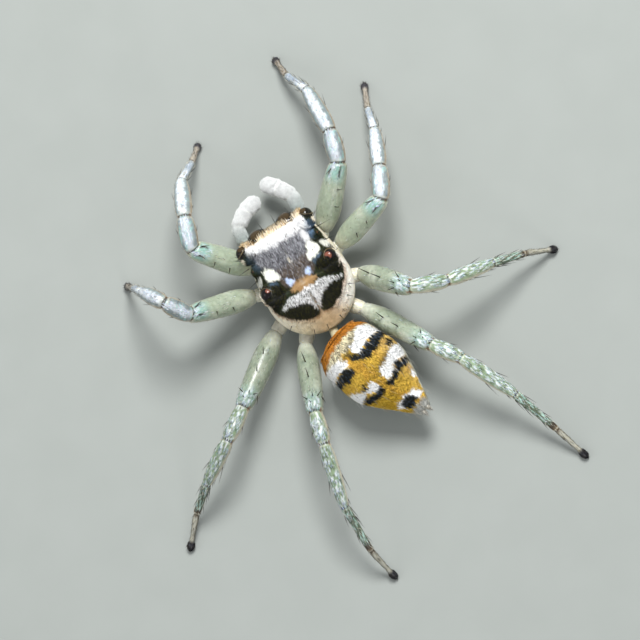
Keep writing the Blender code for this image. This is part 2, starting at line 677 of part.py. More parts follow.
def main():
    clear_scene()
    model = new_collection("phintella_jumping_spider")
    materials = make_materials()
    holder = bpy.data.objects.new("spider", None)
    model.objects.link(holder)
    pieces = []
    for piece, finish, origin in make_pieces():
        bpy.context.scene.collection.objects.unlink(piece)
        model.objects.link(piece)
        piece.data.materials.clear()
        piece.data.materials.append(materials[finish])
        piece.data.shade_smooth()
        move_origin(piece, origin)
        piece.parent = holder
        pieces.append(piece)
    centre_on_floor(pieces, holder)


main()
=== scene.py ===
from collections import namedtuple
import math

import bpy
import numpy as np
from mathutils import Matrix, Vector

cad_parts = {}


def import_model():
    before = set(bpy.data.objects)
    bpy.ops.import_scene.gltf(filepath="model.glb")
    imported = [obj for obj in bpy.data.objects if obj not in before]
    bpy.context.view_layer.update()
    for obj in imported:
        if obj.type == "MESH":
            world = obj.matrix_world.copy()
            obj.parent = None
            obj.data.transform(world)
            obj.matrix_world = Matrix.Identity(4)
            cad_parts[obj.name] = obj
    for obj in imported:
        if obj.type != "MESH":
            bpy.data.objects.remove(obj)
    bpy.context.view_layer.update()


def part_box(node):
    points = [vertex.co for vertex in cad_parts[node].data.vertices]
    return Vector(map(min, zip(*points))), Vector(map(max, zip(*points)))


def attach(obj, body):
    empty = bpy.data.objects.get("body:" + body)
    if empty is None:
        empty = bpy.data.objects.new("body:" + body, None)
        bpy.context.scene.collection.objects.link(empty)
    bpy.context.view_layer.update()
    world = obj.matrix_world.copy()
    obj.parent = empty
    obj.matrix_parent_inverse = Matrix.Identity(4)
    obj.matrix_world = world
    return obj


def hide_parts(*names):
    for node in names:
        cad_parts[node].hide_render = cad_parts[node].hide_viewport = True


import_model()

# Units. The tables below are in millimetres in the body's own frame: the face looks toward -Y,
# the animal's left is +X, the floor is at 0, and x = y = 0 lies below the middle of the rear eyes.
MM = 0.001
UP = np.array([0.0, 0.0, 1.0])
LEFT = np.array([1.0, 0.0, 0.0])
FORWARD = np.array([0.0, -1.0, 0.0])
SIDES = ("left", "right")


def hundredths(*points):
    """Outline or curve that is written in hundredths of a millimetre."""
    return [(x / 100, y / 100) for x, y in points]


# Eyes: half distance, place along the body, height, radius, and the way that the lens looks
EYES = {
    "front_middle": ((0.290, -0.930, 1.050), 0.245, (0.05, -1.0, 0.05)),
    "front_side": ((0.645, -0.890, 1.260), 0.130, (0.50, -0.80, 0.30)),
    "small_middle": ((0.665, -0.500, 1.265), 0.035, (0.90, -0.10, 0.45)),
    "rear": ((0.635, -0.010, 1.360), 0.130, (0.55, 0.25, 0.80)),
}
# Swellings that carry the eyes: middle and radius, and the height of the line that they swell away from
EYE_MOUNDS = (
    ((0.560, -0.820, 1.190), 0.190),
    ((0.610, -0.490, 1.230), 0.085),
    ((0.585, 0.020, 1.270), 0.200),
)
MOUND_HUB_HEIGHT = 0.85
# A lens is this share of the eye, so that it lies just inside it
LENS_SHARE = 0.995
# Rims: how far before the middle of the eye they lie, as a share of its radius, and how thick they are
EYE_RIMS = {
    "front_middle": (0.10, 0.010),
    "front_side": (0.25, 0.010),
    "small_middle": (0.20, 0.005),
    "rear": (0.30, 0.010),
}
# Painted reflections in a lens, fixed to it by the surface's normal: the way that the middle of each looks,
# its size as an angle, and whether it is bright; a dark one cuts a bright one to a crescent
FRONT_EYE_PAINTED_GLINTS = (((0.0, -0.75, 1.0), 0.45, True),)
REAR_EYE_PAINTED_GLINTS = {
    "left": (((-0.25, -0.26, 0.90), 0.31, True),),
    "right": (((0.10, 0.00, 0.96), 0.53, True), ((0.46, 0.42, 0.78), 0.50, False)),
}

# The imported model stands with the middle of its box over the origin
rear_low, rear_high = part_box("eye_rear_left")
SHIFT = np.array((rear_low + rear_high) / 2) / MM - np.array(EYES["rear"][0])

# Camera of the photograph: nearly overhead, leaning back and to the animal's right
PICTURE_SIDE = 640
PIXELS_PER_MM = 57.0
CAMERA_DISTANCE = 150.0
CAMERA_TILT = 12.0
CAMERA_SWING = 18.0
HEAD_IN_PICTURE = (-0.520, 0.854)
EYES_MIDDLE_PIXEL = (298.4, 275.2)
EYES_MIDDLE = (0.0, 0.0, 1.42)

# Studio: half the side of the floor, and the place, size and power of each lamp
FLOOR_REACH = 60.0
SKY_COLOUR = (0.93, 0.96, 1.0, 1.0)
SKY_STRENGTH = 0.54
LAMPS = {
    "key": ((-25.0, -30.0, 60.0), 30.0, 0.065),
    "fill": ((45.0, -10.0, 40.0), 40.0, 0.005),
    "rim": ((5.0, 55.0, 35.0), 25.0, 0.006),
}

# Carapace
CARAPACE_FRONT = -1.00
CARAPACE_REAR = 0.98
CARAPACE_BROADEST = 0.15
CARAPACE_HALF_WIDTH = 0.82
CARAPACE_FRONT_NARROWING = 0.20
CARAPACE_FRONT_ROUND = 0.13
CARAPACE_EDGE_HEIGHT = 0.68
CARAPACE_UNDERSIDE = 0.60
CARAPACE_TOP = ((-1.00, 1.31), (-0.80, 1.38), (-0.40, 1.41), (0.05, 1.42),
                (0.35, 1.33), (0.65, 1.10), (0.85, 0.87), (0.98, 0.72))
CARAPACE_SQUARENESS = ((-1.00, 3.4), (0.10, 3.0), (0.98, 2.2))
CARAPACE_LEAN = 0.14
CARAPACE_COAT_DEPTH = 0.012
CARAPACE_SIDES = 160
CARAPACE_HAIRS = (30000, 45000)
FRINGE_HAIRS = 3600
FACE_HAIRS = 4200
FACE_MIDDLE_HEIGHT = 0.98
FACE_RINGS = (0.06, 0.25, 0.45, 0.65, 0.82, 0.93)

# Outlines of the marks on the carapace, seen from above: distance from the midline and place along the body
FIELD = hundredths((0, -120), (80, -120), (69, -75), (73, -35), (75.5, -10), (74.5, 15), (69, 34),
                   (61, 44), (53, 53), (42, 62), (27, 69.5), (12, 72.5), (4, 71), (0, 66))
GREY_MIDDLE = hundredths((0, -80), (32, -80), (50, -84), (56, -72), (54, -50), (46, -42), (36, -34),
                         (32, -18), (33, -4), (28, 8), (0, 11))
CREAM_PATCH = hundredths((36, -36), (43, -42), (53, -39), (56, -30), (55, -22), (50, -16), (38, -11),
                         (29, -8), (27, -14), (33, -25))
CREAM_EDGE = hundredths((60, -36), (66, -37), (74, -30), (70, -20), (63, -23))
BLUE_SIDE = hundredths((56, -78), (66, -76), (62, -54), (57, -42), (50, -49), (51, -62))
BLUE_SPOT = hundredths((22, -6), (25, 3), (23, 11.5), (15, 10), (9, 6), (14, 1))
BLUE_BY_EYE = hundredths((36, -6), (46, -14), (55, -12), (51, 2), (42, 5))
OCHRE_BAR = hundredths((0, 7), (12, 9), (26, 15), (27, 20), (12, 24), (0, 24))
BLACK_BY_EYE = hundredths((34, 2), (36, 13), (40, 21), (51, 26.5), (63, 28), (74, 26), (84, 10), (84, -15),
                          (63, -20), (55, -12), (42, -8))
BLACK_REAR = hundredths((66, 36), (54, 38), (40, 38.5), (26, 40), (13, 43.5), (7.5, 50), (4.5, 60),
                        (4.5, 67), (8, 71), (15, 72), (26, 70), (39, 65), (48, 59), (55, 51), (62, 43))
CHEVRON = hundredths((0, 22.5), (14, 24), (25, 22.5), (39, 24), (52, 28), (64, 32), (56, 37.5), (39, 38.5),
                     (25, 41.5), (16, 46), (10, 53), (4.5, 65), (0, 66))

# Abdomen
ABDOMEN_FRONT = (0.120, 1.145)
ABDOMEN_MARKS_FRONT = (0.085, 1.130)
ABDOMEN_SWING = 21.4
ABDOMEN_LENGTH = 2.02
ABDOMEN_HALF_WIDTH = 0.64
ABDOMEN_TALL = 0.84
ABDOMEN_FRONT_ROUND = 0.55
ABDOMEN_TAPER = ((0.55, 0.96), (0.80, 1.00), (1.05, 0.99), (1.40, 0.77), (1.70, 0.52), (1.90, 0.36),
                 (2.02, 0.25))
ABDOMEN_AXIS_HEIGHT = ((0.00, 0.79), (0.60, 0.77), (1.20, 0.71), (2.02, 0.62))
ABDOMEN_COAT_DEPTH = 0.014
ABDOMEN_SIDES = 128
ABDOMEN_HAIRS = (19000, 19000)
ABDOMEN_LONG_HAIRS = 150

# Outlines of the marks on the abdomen: distance from its front and distance to the left of its middle
WHITE_MARKS = (
    hundredths((28, -42), (38, -52), (53, -60), (63, -60), (60, -40), (61, -26), (64, -14), (70, -2),
               (61, 0), (53, 5), (43, 1), (41, -10), (39, -19), (33, -28)),
    hundredths((95, -49), (98, -62), (117, -64), (125, -46), (123, -36), (122, -27), (130, -18), (134, -6),
               (132, 6), (116, 4), (106, -4), (108, -17), (103, -28), (97, -40)),
    hundredths((39, 32), (45, 26), (54, 21), (64, 25), (62, 36), (57, 47), (54, 66), (42, 70), (26, 64),
               (34, 50)),
    hundredths((105, 33), (112, 24), (126, 18), (130, 30), (122, 40), (117, 46), (117, 58), (108, 72),
               (92, 76), (84, 66), (96, 57), (106, 49), (112, 39)),
    hundredths((144, -36), (149, -44), (160, -42), (160, -27), (150, -31)),
    hundredths((168, 2), (172, -10), (178, -18), (186, -19), (189, -11), (186, -3), (184, 23), (178, 30),
               (168, 36), (165, 24)),
)
BLACK_MARKS = (
    hundredths((62, -56), (73, -60), (78, -45), (80, -36), (81, -21), (83, -9), (77, 3), (65, 13),
               (55, 14), (52, 6), (63, 0), (65, -13), (62, -27), (61, -40)),
    hundredths((124, -52), (134, -48), (137, -35), (136, -26), (141, -13), (142, 2), (137, 11), (129, 10),
               (133, -4), (130, -17), (122, -26), (124, -38)),
    hundredths((61, 35), (66, 26), (77, 26), (79, 34), (80, 47), (74, 57), (70, 68), (58, 70), (55, 60),
               (58, 47)),
    hundredths((122, 16), (131, 18), (137, 22), (138, 36), (132, 47), (125, 56), (115, 66), (117, 54),
               (122, 41), (128, 30), (127, 20)),
    hundredths((99, 37), (107, 32), (110, 39), (104, 45)),
    hundredths((80, -53), (90, -58), (95, -50), (90, -45)),
    hundredths((173, 4), (178, -3), (186, -2), (190, 8), (188, 19), (181, 27), (172, 25), (169, 14)),
)
DUSKY_EDGES = (
    hundredths((96, -41), (106, -28), (107, -14), (109, -2), (114, 7), (104, -8), (100, -28)),
    hundredths((33, -22), (36, -18), (43, 0), (50, 8), (46, 20), (44, 10), (38, -2), (31, -18)),
)

# Palps
PALP_PATHS = {
    "left": ((0.34, -0.72, 0.38), (0.57, -1.20, 0.50), (0.55, -1.46, 0.56), (0.31, -1.66, 0.52),
             (0.00, -1.76, 0.42)),
    "right": ((0.34, -0.72, 0.38), (0.55, -1.18, 0.50), (0.59, -1.44, 0.56), (0.46, -1.68, 0.52),
              (0.24, -1.95, 0.42)),
}
PALP_RADII = ((0.0, 0.070), (0.25, 0.100), (0.50, 0.110), (0.75, 0.136), (0.92, 0.136), (0.97, 0.105),
              (1.0, 0.050))
PALP_RINGS = 90
PALP_SIDES = 32
PALP_BEND = 0.12
PALP_HAIRS = 14000

# Legs
SEGMENTS = ("coxa", "femur", "patella", "tibia", "metatarsus", "tarsus")
COXA, FEMUR, PATELLA, TIBIA, METATARSUS, TARSUS = range(len(SEGMENTS))
COXA_BASE = {1: (0.30, -0.38), 2: (0.34, -0.10), 3: (0.34, 0.22), 4: (0.27, 0.54)}
COXA_HEIGHT = 0.42
COXA_SUNK = 0.10
# For each pair: lengths from femur to tarsus, and radii from coxa to tarsus
LEG_LENGTHS = {
    1: (1.32, 0.59, 0.99, 0.61, 0.48),
    2: (1.37, 0.61, 0.83, 0.56, 0.56),
    3: (1.57, 0.66, 0.93, 0.71, 0.60),
    4: (1.56, 0.59, 1.16, 0.98, 0.65),
}
LEG_RADII = {
    1: (0.140, 0.225, 0.165, 0.162, 0.095, 0.062),
    2: (0.140, 0.215, 0.163, 0.152, 0.092, 0.060),
    3: (0.145, 0.218, 0.145, 0.135, 0.088, 0.058),
    4: (0.145, 0.205, 0.142, 0.134, 0.086, 0.056),
}
# Where each femur starts, the turn and rise of the next four segments in degrees, and the turn of the tarsus
POSE = {
    "right_1": ((0.73, -0.65, 0.41), ((49, 27), (15, -3), (1, -19), (-22, -32)), -6),
    "right_2": ((0.84, -0.28, 0.41), ((83, 36), (25, -14), (20, -26), (9, -36)), 18),
    "right_3": ((0.90, 0.36, 0.41), ((143, 44), (110, -16), (95, -28), (98, -37)), 107),
    "right_4": ((0.62, 0.93, 0.42), ((151, 19), (147, 8), (155, -18), (162, -21)), 164),
    "left_1": ((0.69, -0.74, 0.41), ((44, 41), (-22, 22), (-18, -41), (-46, -47)), -39),
    "left_2": ((0.92, -0.31, 0.41), ((81, 35), (35, 50), (29, -47), (30, -58)), 30),
    "left_3": ((0.93, 0.45, 0.41), ((129, 19), (127, 15), (117, -25), (120, -41)), 136),
    "left_4": ((0.60, 0.92, 0.42), ((162, 30), (166, 7), (165, -14), (177, -32)), -170),
}
TARSUS_TIP_HEIGHT = 0.07
# How thick each segment is at shares of its length, as a share of its radius
SWELL = {
    "coxa": ((0.0, 0.85), (0.30, 1.00), (0.70, 1.00), (1.0, 0.86)),
    "femur": ((0.0, 0.58), (0.10, 0.78), (0.25, 0.97), (0.42, 1.00), (0.65, 0.94), (0.86, 0.84), (1.0, 0.70)),
    "patella": ((0.0, 0.84), (0.25, 1.00), (0.72, 1.00), (1.0, 0.82)),
    "tibia": ((0.0, 0.78), (0.16, 0.96), (0.42, 1.00), (0.78, 0.88), (1.0, 0.66)),
    "metatarsus": ((0.0, 1.04), (0.15, 0.98), (0.50, 0.84), (0.85, 0.80), (1.0, 0.74)),
    "tarsus": ((0.0, 1.00), (0.12, 1.04), (0.50, 0.90), (0.80, 0.85), (0.88, 1.05),
               (0.96, 1.15), (1.04, 1.05), (1.09, 0.75), (1.12, 0.30)),
}
FEMUR_TALL = 1.10
LEG_SIDES = 30
LEG_STEP = 0.020
LEG_BEND = 0.13
LEG_COAT_DEPTH = 0.005
# How much thinner a joint is, and over what distance
LEG_WAIST = (0.12, 0.020)
PALP_WAIST = (0.09, 0.03)
# Number of scales on a leg, and their length and width
LEG_SCALES = 1300
SCALE_SIZE = {"front": (0.078, 0.012), "hind": (0.110, 0.009)}
# Number of short hairs on a leg, and the share of them that is dark
LEG_HAIRS = 900
DARK_HAIRS = {"front": 0.16, "hind": 0.34}
# Brush under the claws: number of hairs, their length, and how bright they are beside the black of the tip
CLAW_TUFT = {"front": (220, 0.030, 2.5), "hind": (460, 0.042, 0.8)}
JOINT_RINGS = (-0.022, -0.012, -0.005, 0.005, 0.012, 0.022)
JOINT_BLUR = np.linspace(-0.06, 0.06, 9)
SOLE_HEIGHT = 0.010
FLOOR_CLEARANCE = 0.002
# The hind legs are scaled a little on their front side too, this many degrees over
HIND_STREAK_TURN = 24
# Painted shade: legs that are painted darker than the rest, as if less lit
LEG_PAINTED_SHADE = {"right_1": 0.86, "left_2": 0.90, "left_3": 0.78, "left_4": 0.84}

# Radius of a spine and a factor for its length: on a femur, and on the rest of a front or a hind leg
SPINE_SIZE = {"femur": (0.0125, 1.1), "front": (0.0060, 0.75), "hind": (0.0072, 1.0)}
# Spines: share along the segment, degrees round it, degrees of lean, and length
FRONT_FEMUR_SPINES = ((0.42, 128, 74, 0.26), (0.66, 125, 70, 0.26), (0.94, 64, 125, 0.20),
                      (0.94, 116, 125, 0.20))
LEG_SPINES = {
    "femur": ((0.36, 88, 100, 0.34), (0.58, 92, 98, 0.32), (0.84, 98, 86, 0.22), (0.86, 62, 92, 0.20),
              (0.84, 126, 88, 0.22), (0.92, 80, 95, 0.12), (0.82, 160, 26, 0.18)),
    "patella": ((0.50, 5, 22, 0.16), (0.50, 175, 22, 0.16)),
    "tibia": ((0.20, -10, 18, 0.16), (0.28, -50, 24, 0.28), (0.34, -125, 24, 0.28), (0.52, 186, 14, 0.34),
              (0.56, 0, 16, 0.26), (0.72, -60, 22, 0.28), (0.76, -120, 22, 0.28), (0.90, 182, 16, 0.12)),
    "metatarsus": ((0.06, 182, 10, 0.28), (0.12, -5, 12, 0.28), (0.20, -140, 18, 0.28), (0.26, 176, 10, 0.28),
                   (0.58, -5, 12, 0.22), (0.66, -150, 16, 0.24)),
}

# Underside: half widths along the body, and the lowest and highest level
SLABS = {
    "sternum": (((-0.48, 0.13), (-0.36, 0.21), (0.00, 0.27), (0.30, 0.26), (0.55, 0.18), (0.70, 0.07)),
                0.275, 0.59),
    "mouthparts": (((-0.72, 0.17), (-0.68, 0.21), (-0.57, 0.22), (-0.52, 0.18)), 0.285, 0.46),
}
SLAB_HAIRS = 700
PEDICEL_PATH = ((0.00, 0.60, 0.46), (0.02, 0.95, 0.53), (0.07, 1.26, 0.68))
PEDICEL_RADIUS = 0.080
CHELICERA_PLACE = (0.150, -0.880)
CHELICERA_COAT_DEPTH = 0.004
CHELICERA_TOP = 0.59
CHELICERA_BOTTOM = 0.215
CHELICERA_HAIRS = 500
# Height, shift forward, half width and half depth
CHELICERA_STATIONS = ((0.22, 0.00, 0.060, 0.065), (0.27, 0.01, 0.095, 0.095), (0.36, 0.02, 0.118, 0.120),
                      (0.50, 0.02, 0.122, 0.128), (0.57, 0.00, 0.110, 0.110))
# Fang of the left chelicera: root, direction, bend, length and radius
FANG = ((0.17, -0.87, 0.245), (-0.60, 0.45, -0.45), (-0.20, 0.20, 0.10), 0.15, 0.030)
SPINNERET_LENGTH = 0.155
SPINNERET_HAIRS = 60
SPINNERET_RADII = ((0.0, 0.036), (0.5, 0.034), (0.85, 0.024), (1.0, 0.008))
COLLAR_RADII = ((0.0, 0.105), (0.05, 0.092), (0.085, 0.05))

# Long bristles of the head and the carapace's edge: root, direction and length
HEAD_BRISTLES = (
    ((0.12, -0.99, 1.30), (0.10, -0.95, 0.75), 0.26),
    ((-0.12, -0.99, 1.30), (-0.05, -0.95, 0.75), 0.26),
    ((-0.44, -0.93, 1.33), (0.10, -0.90, 0.85), 0.30),
    ((0.44, -0.93, 1.33), (-0.10, -0.90, 0.85), 0.24),
    ((0.70, -0.78, 1.22), (0.85, -0.35, 0.55), 0.26),
    ((-0.70, -0.78, 1.22), (-0.85, -0.35, 0.55), 0.26),
    ((0.70, -0.62, 1.16), (0.90, 0.10, 0.35), 0.28),
    ((-0.70, -0.62, 1.16), (-0.90, 0.10, 0.35), 0.26),
    ((0.70, -0.35, 1.16), (0.95, 0.25, 0.40), 0.22),
    ((-0.70, -0.35, 1.16), (-0.95, 0.25, 0.40), 0.22),
    ((0.30, 0.86, 0.84), (0.25, 0.85, 0.45), 0.17),
    ((0.06, 0.90, 0.83), (0.05, 0.90, 0.45), 0.17),
    ((-0.22, 0.88, 0.84), (-0.20, 0.85, 0.45), 0.17),
    ((-0.52, 0.66, 0.92), (-0.60, 0.60, 0.40), 0.16),
    ((-0.62, 0.50, 0.95), (-0.75, 0.40, 0.40), 0.16),
    ((0.60, 0.60, 0.88), (0.65, 0.60, 0.40), 0.16),
)
HEAD_BRISTLE_RADIUS = 0.0075
# Bristles round an eye: the places round it, and their length and radius
BROW_TURNS = np.radians((10, 60, 110, 170, 230))
BROW_LENGTH = 0.15
BROW_RADIUS = 0.0055

# One hair, as corner numbers. A broad hair has a root ring, a wider middle ring and a tip;
# a fine hair has a root ring and a tip.
BROAD_HAIR = ((3, 4, 1, 0), (4, 5, 2, 1), (5, 3, 0, 2), (6, 4, 3), (6, 5, 4), (6, 3, 5), (0, 1, 2))
FINE_HAIR = ((3, 1, 0), (3, 2, 1), (3, 0, 2), (0, 1, 2))
BROAD_HAIR_ROOT = 0.62
HAIR_THICKNESS = 0.8
# Painted shade: the root ring of each hair is painted darker by this factor
HAIR_ROOT_PAINTED_SHADE = 0.85
HAIR_DROOP = 0.45
HAIR_SINK = 0.006
SQUARE_POWER = 0.7
TUFT_ON_MAP = 0.0015
TUFT_CORNERS = ((-1, -1), (1, -1), (0, -1), (-1, 0), (1, 0), (0, 0), (0, 1))

# Colours, as linear light
WHITE = np.array([0.95, 0.95, 0.94])
CREAM = np.array([0.88, 0.79, 0.54])
RIM = np.array([0.88, 0.80, 0.64])
PATCH_CREAM = np.array([0.92, 0.92, 0.83])
OCHRE = np.array([0.46, 0.28, 0.12])
STEEL = np.array([0.17, 0.27, 0.40])
PEACH = np.array([0.84, 0.63, 0.34])
SILVER = np.array([0.19, 0.19, 0.21])
DARK_GREY = np.array([0.06, 0.06, 0.07])
RUST = np.array([0.55, 0.22, 0.03])
BLACK = np.array([0.012, 0.013, 0.010])
PALE_BLUE = np.array([0.54, 0.64, 0.84])
GOLD = np.array([0.70, 0.46, 0.070])
DARK_GOLD = np.array([0.54, 0.27, 0.04])
PALE_GREY = np.array([0.50, 0.50, 0.46])
PALP_CLEAR = (0.50, 0.56, 0.52)
LEG_GLASS = np.array([0.36, 0.42, 0.31])
LEG_CREAM = np.array([0.72, 0.66, 0.52])
LEG_MILK = np.array([0.68, 0.69, 0.58])
LEG_SHINE = np.array([0.84, 0.89, 0.95])
LEG_SMOKE = np.array([0.23, 0.29, 0.31])
LEG_TEAL = np.array([0.24, 0.46, 0.42])
LEG_TAN = np.array([0.40, 0.31, 0.20])
LEG_MOSS = np.array([0.22, 0.29, 0.18])
LEG_LINE = np.array([0.050, 0.035, 0.020])
LEG_TIP = np.array([0.018, 0.017, 0.020])
SEA_GREEN = (0.36, 0.62, 0.52)
SKY_BLUE = (0.52, 0.62, 0.88)
DARK_MOSS = (0.10, 0.14, 0.09)
# Scales of other colours on the legs, for ranges of a random share
SCALE_FLECKS = {
    "front": ((0.0, 0.08, SEA_GREEN), (0.88, 1.0, SKY_BLUE)),
    "hind": ((0.0, 0.22, SEA_GREEN), (0.88, 1.0, SKY_BLUE), (0.80, 0.88, DARK_MOSS)),
}
DARKEST, BRIGHTEST = 0.004, 0.95

rng = np.random.default_rng(4)


# Small helpers for arrays of points

def unit(v):
    v = np.asarray(v, float)
    return v / np.maximum(np.linalg.norm(v, axis=-1, keepdims=True), 1e-12)


def between(stations, place):
    """Smooth curve through a few named stations, for one place or an array of places."""
    xs, ys = np.array(stations, float).T
    slopes = np.gradient(ys, xs)
    place = np.clip(place, xs[0], xs[-1])
    i = np.clip(np.searchsorted(xs, place, side="right") - 1, 0, len(xs) - 2)
    span = xs[i + 1] - xs[i]
    t = (place - xs[i]) / span
    ease = t * t * (3 - 2 * t)
    bend = span * (slopes[i] * t * (1 - t) ** 2 - slopes[i + 1] * t * t * (1 - t))
    return ys[i] + (ys[i + 1] - ys[i]) * ease + bend


def straight_between(stations, place):
    return np.interp(place, *zip(*stations))


def ramp(low, high, value):
    """0 before low and 1 past high, with a soft step between them; high may be the smaller number."""
    t = np.clip((value - low) / (high - low), 0, 1)
    return t * t * (3 - 2 * t)


def wander(points, scale, seed):
    """Soft irregular values between about -1 and 1, from a few crossed waves."""
    turns = np.random.default_rng(seed).normal(size=(6, 3))
    phases = np.random.default_rng(seed + 1).uniform(0, 2 * np.pi, 6)
    return sum(np.sin(points @ turn / scale + phase) for turn, phase in zip(turns, phases)) / 3.0


def angles(count):
    return 2 * np.pi * np.arange(count) / count


def squared(wave, power):
    """Sine or cosine that is drawn toward 1 and -1, which makes a ring squarer."""
    return np.sign(wave) * np.abs(wave) ** power


def mirrored(point, side):
    return np.array(point, float) * (1 if side == "left" else -1, 1, 1)


def across_way(way):
    """A direction and two more that stand across it."""
    way = unit(way)
    side = unit(np.cross(way, UP if abs(way[2]) < 0.9 else LEFT))
    return way, side, np.cross(side, way)


def circle(side, other, sides):
    """Points of a circle of radius 1 between two directions."""
    turn = angles(sides)[:, None]
    return side * np.cos(turn) + other * np.sin(turn)


# Colours at points

def mix(base, colour, share):
    """From one colour or point to another, by a share for each."""
    share = np.asarray(share)[..., None]
    return base * (1 - share) + np.asarray(colour) * share


def paint(tint, *layers):
    """Lays colours over a tint one after another, each with its share."""
    for colour, share in layers:
        tint = mix(tint, colour, share)
    return tint


def spread_of(colour, like):
    """One colour for every point of an array."""
    return np.broadcast_to(colour, like.shape).copy()


def ellipse(x, y, centre, radii, edge, ragged=0.0):
    """1 inside an ellipse and 0 outside, with a soft edge that a ragged value can shift."""
    u, v = (x - centre[0]) / radii[0], (y - centre[1]) / radii[1]
    return 1 - ramp(1 - edge, 1 + edge, np.sqrt(u * u + v * v) + ragged)


def inside(x, y, outline, edge=0.02, ragged=0.0):
    """1 inside a closed outline and 0 outside, with a soft edge that a ragged value can shift."""
    nearest = np.full(np.shape(x), np.inf)
    within = np.zeros(np.shape(x), bool)
    for (ax, ay), (bx, by) in zip(outline, outline[1:] + outline[:1]):
        run_x, run_y = bx - ax, by - ay
        t = np.clip(((x - ax) * run_x + (y - ay) * run_y) / (run_x ** 2 + run_y ** 2), 0, 1)
        nearest = np.minimum(nearest, np.hypot(x - ax - t * run_x, y - ay - t * run_y))
        if run_y != 0:
            within ^= ((ay > y) != (by > y)) & (x < ax + (y - ay) / run_y * run_x)
    return ramp(-edge, edge, np.where(within, nearest, -nearest) + ragged)


# Materials

def add_node(tree, kind, **values):
    """New node of a material, with values for its inputs by name."""
    made = tree.nodes.new("ShaderNode" + kind)
    for name, value in values.items():
        made.inputs[name.replace("_", " ")].default_value = value
    return made


def add_noise(tree, place, scale, detail):
    noise = add_node(tree, "TexNoise", Scale=scale, Detail=detail)
    tree.links.new(place.outputs["Object"], noise.inputs["Vector"])
    return noise.outputs["Fac"]


def shader(name, roughness, specular=0.5, coat=0.0, coat_roughness=0.05, subsurface=0.0):
    material = bpy.data.materials.new(name)
    material.use_nodes = True
    surface = material.node_tree.nodes["Principled BSDF"]
    values = {
        "Roughness": roughness, "Specular IOR Level": specular,
        "Coat Weight": coat, "Coat Roughness": coat_roughness,
        "Subsurface Weight": subsurface, "Subsurface Radius": (1.0, 0.8, 0.5), "Subsurface Scale": 0.08 * MM,
    }
    for socket, value in values.items():
        surface.inputs[socket].default_value = value
    return material, material.node_tree, surface


def tinted(name, roughness, grain, contrast, bump=0.0, bump_grain=0.0, **more):
    """Material that takes its colour from the mesh's tints, broken up by a fine grain."""
    material, tree, surface = shader(name, roughness, **more)
    tint = add_node(tree, "Attribute")
    tint.attribute_name = "tint"
    place = add_node(tree, "TexCoord")
    noise = add_noise(tree, place, grain, 3.0)
    scale = add_node(tree, "MapRange", From_Min=0.3, From_Max=0.7,
                     To_Min=1.0 - contrast, To_Max=1.0 + contrast)
    tree.links.new(noise, scale.inputs["Value"])
    blend = add_node(tree, "VectorMath")
    blend.operation = "MULTIPLY"
    tree.links.new(tint.outputs["Color"], blend.inputs[0])
    tree.links.new(scale.outputs["Result"], blend.inputs[1])
    tree.links.new(blend.outputs["Vector"], surface.inputs["Base Color"])
    if bump > 0:
        ridges = add_noise(tree, place, bump_grain, 2.0)
        relief = add_node(tree, "Bump", Strength=bump, Distance=0.01 * MM)
        tree.links.new(ridges, relief.inputs["Height"])
        tree.links.new(relief.outputs["Normal"], surface.inputs["Normal"])
    return material


def grained(name, roughness, dark, light, grain=16000.0, **more):
    """Material that wavers between two close colours."""
    material, tree, surface = shader(name, roughness, **more)
    noise = add_noise(tree, add_node(tree, "TexCoord"), grain, 3.0)
    colours = add_node(tree, "ValToRGB")
    for stop, position, colour in zip(colours.color_ramp.elements, (0.35, 0.65), (dark, light)):
        stop.position = position
        stop.color = (*colour, 1.0)
    tree.links.new(noise, colours.inputs["Fac"])
    tree.links.new(colours.outputs["Color"], surface.inputs["Base Color"])
    return material


def lens_material(name, dark, bright, painted_glints):
    """Dark wet lens, with a painted reflection: a warm patch fixed deep in it where the real eye throws light
    back.
    """
    material, tree, surface = shader(name, 0.10, specular=0.25, coat=0.10, coat_roughness=0.02)
    geometry = add_node(tree, "NewGeometry")
    below = None
    # each patch is a painted glint, set by the surface's normal
    for way, size, is_bright in painted_glints:
        toward = add_node(tree, "VectorMath")
        toward.operation = "DOT_PRODUCT"
        toward.inputs[1].default_value = tuple(unit(way))
        tree.links.new(geometry.outputs["Normal"], toward.inputs[0])
        edge = add_node(tree, "MapRange", From_Min=math.cos(size * 1.25), From_Max=math.cos(size * 0.8))
        edge.interpolation_type = "SMOOTHSTEP"
        tree.links.new(toward.outputs["Value"], edge.inputs["Value"])
        colours = add_node(tree, "Mix")
        colours.data_type = "RGBA"
        share, under, over = colours.inputs[0], colours.inputs[6], colours.inputs[7]
        under.default_value = (*dark, 1.0)
        over.default_value = (*(bright if is_bright else dark), 1.0)
        tree.links.new(edge.outputs["Result"], share)
        if below:
            tree.links.new(below, under)
        below = colours.outputs[2]
    tree.links.new(below, surface.inputs["Base Color"])
    return material


skin_material = tinted("cuticle", 0.42, 12000, 0.18, bump=0.5, bump_grain=40000, subsurface=0.25)
leg_material = tinted("leg_cuticle", 0.30, 14000, 0.14, bump=0.22, bump_grain=30000, subsurface=0.40)
hair_material = tinted("hair", 0.55, 20000, 0.10, specular=0.12)
scale_material = tinted("scale", 0.28, 20000, 0.12, specular=0.8)
bristle_material = grained("bristle", 0.30, (0.008, 0.007, 0.006), (0.030, 0.022, 0.014))


# Meshes

def world(points):
    return (np.asarray(points) + SHIFT) * MM


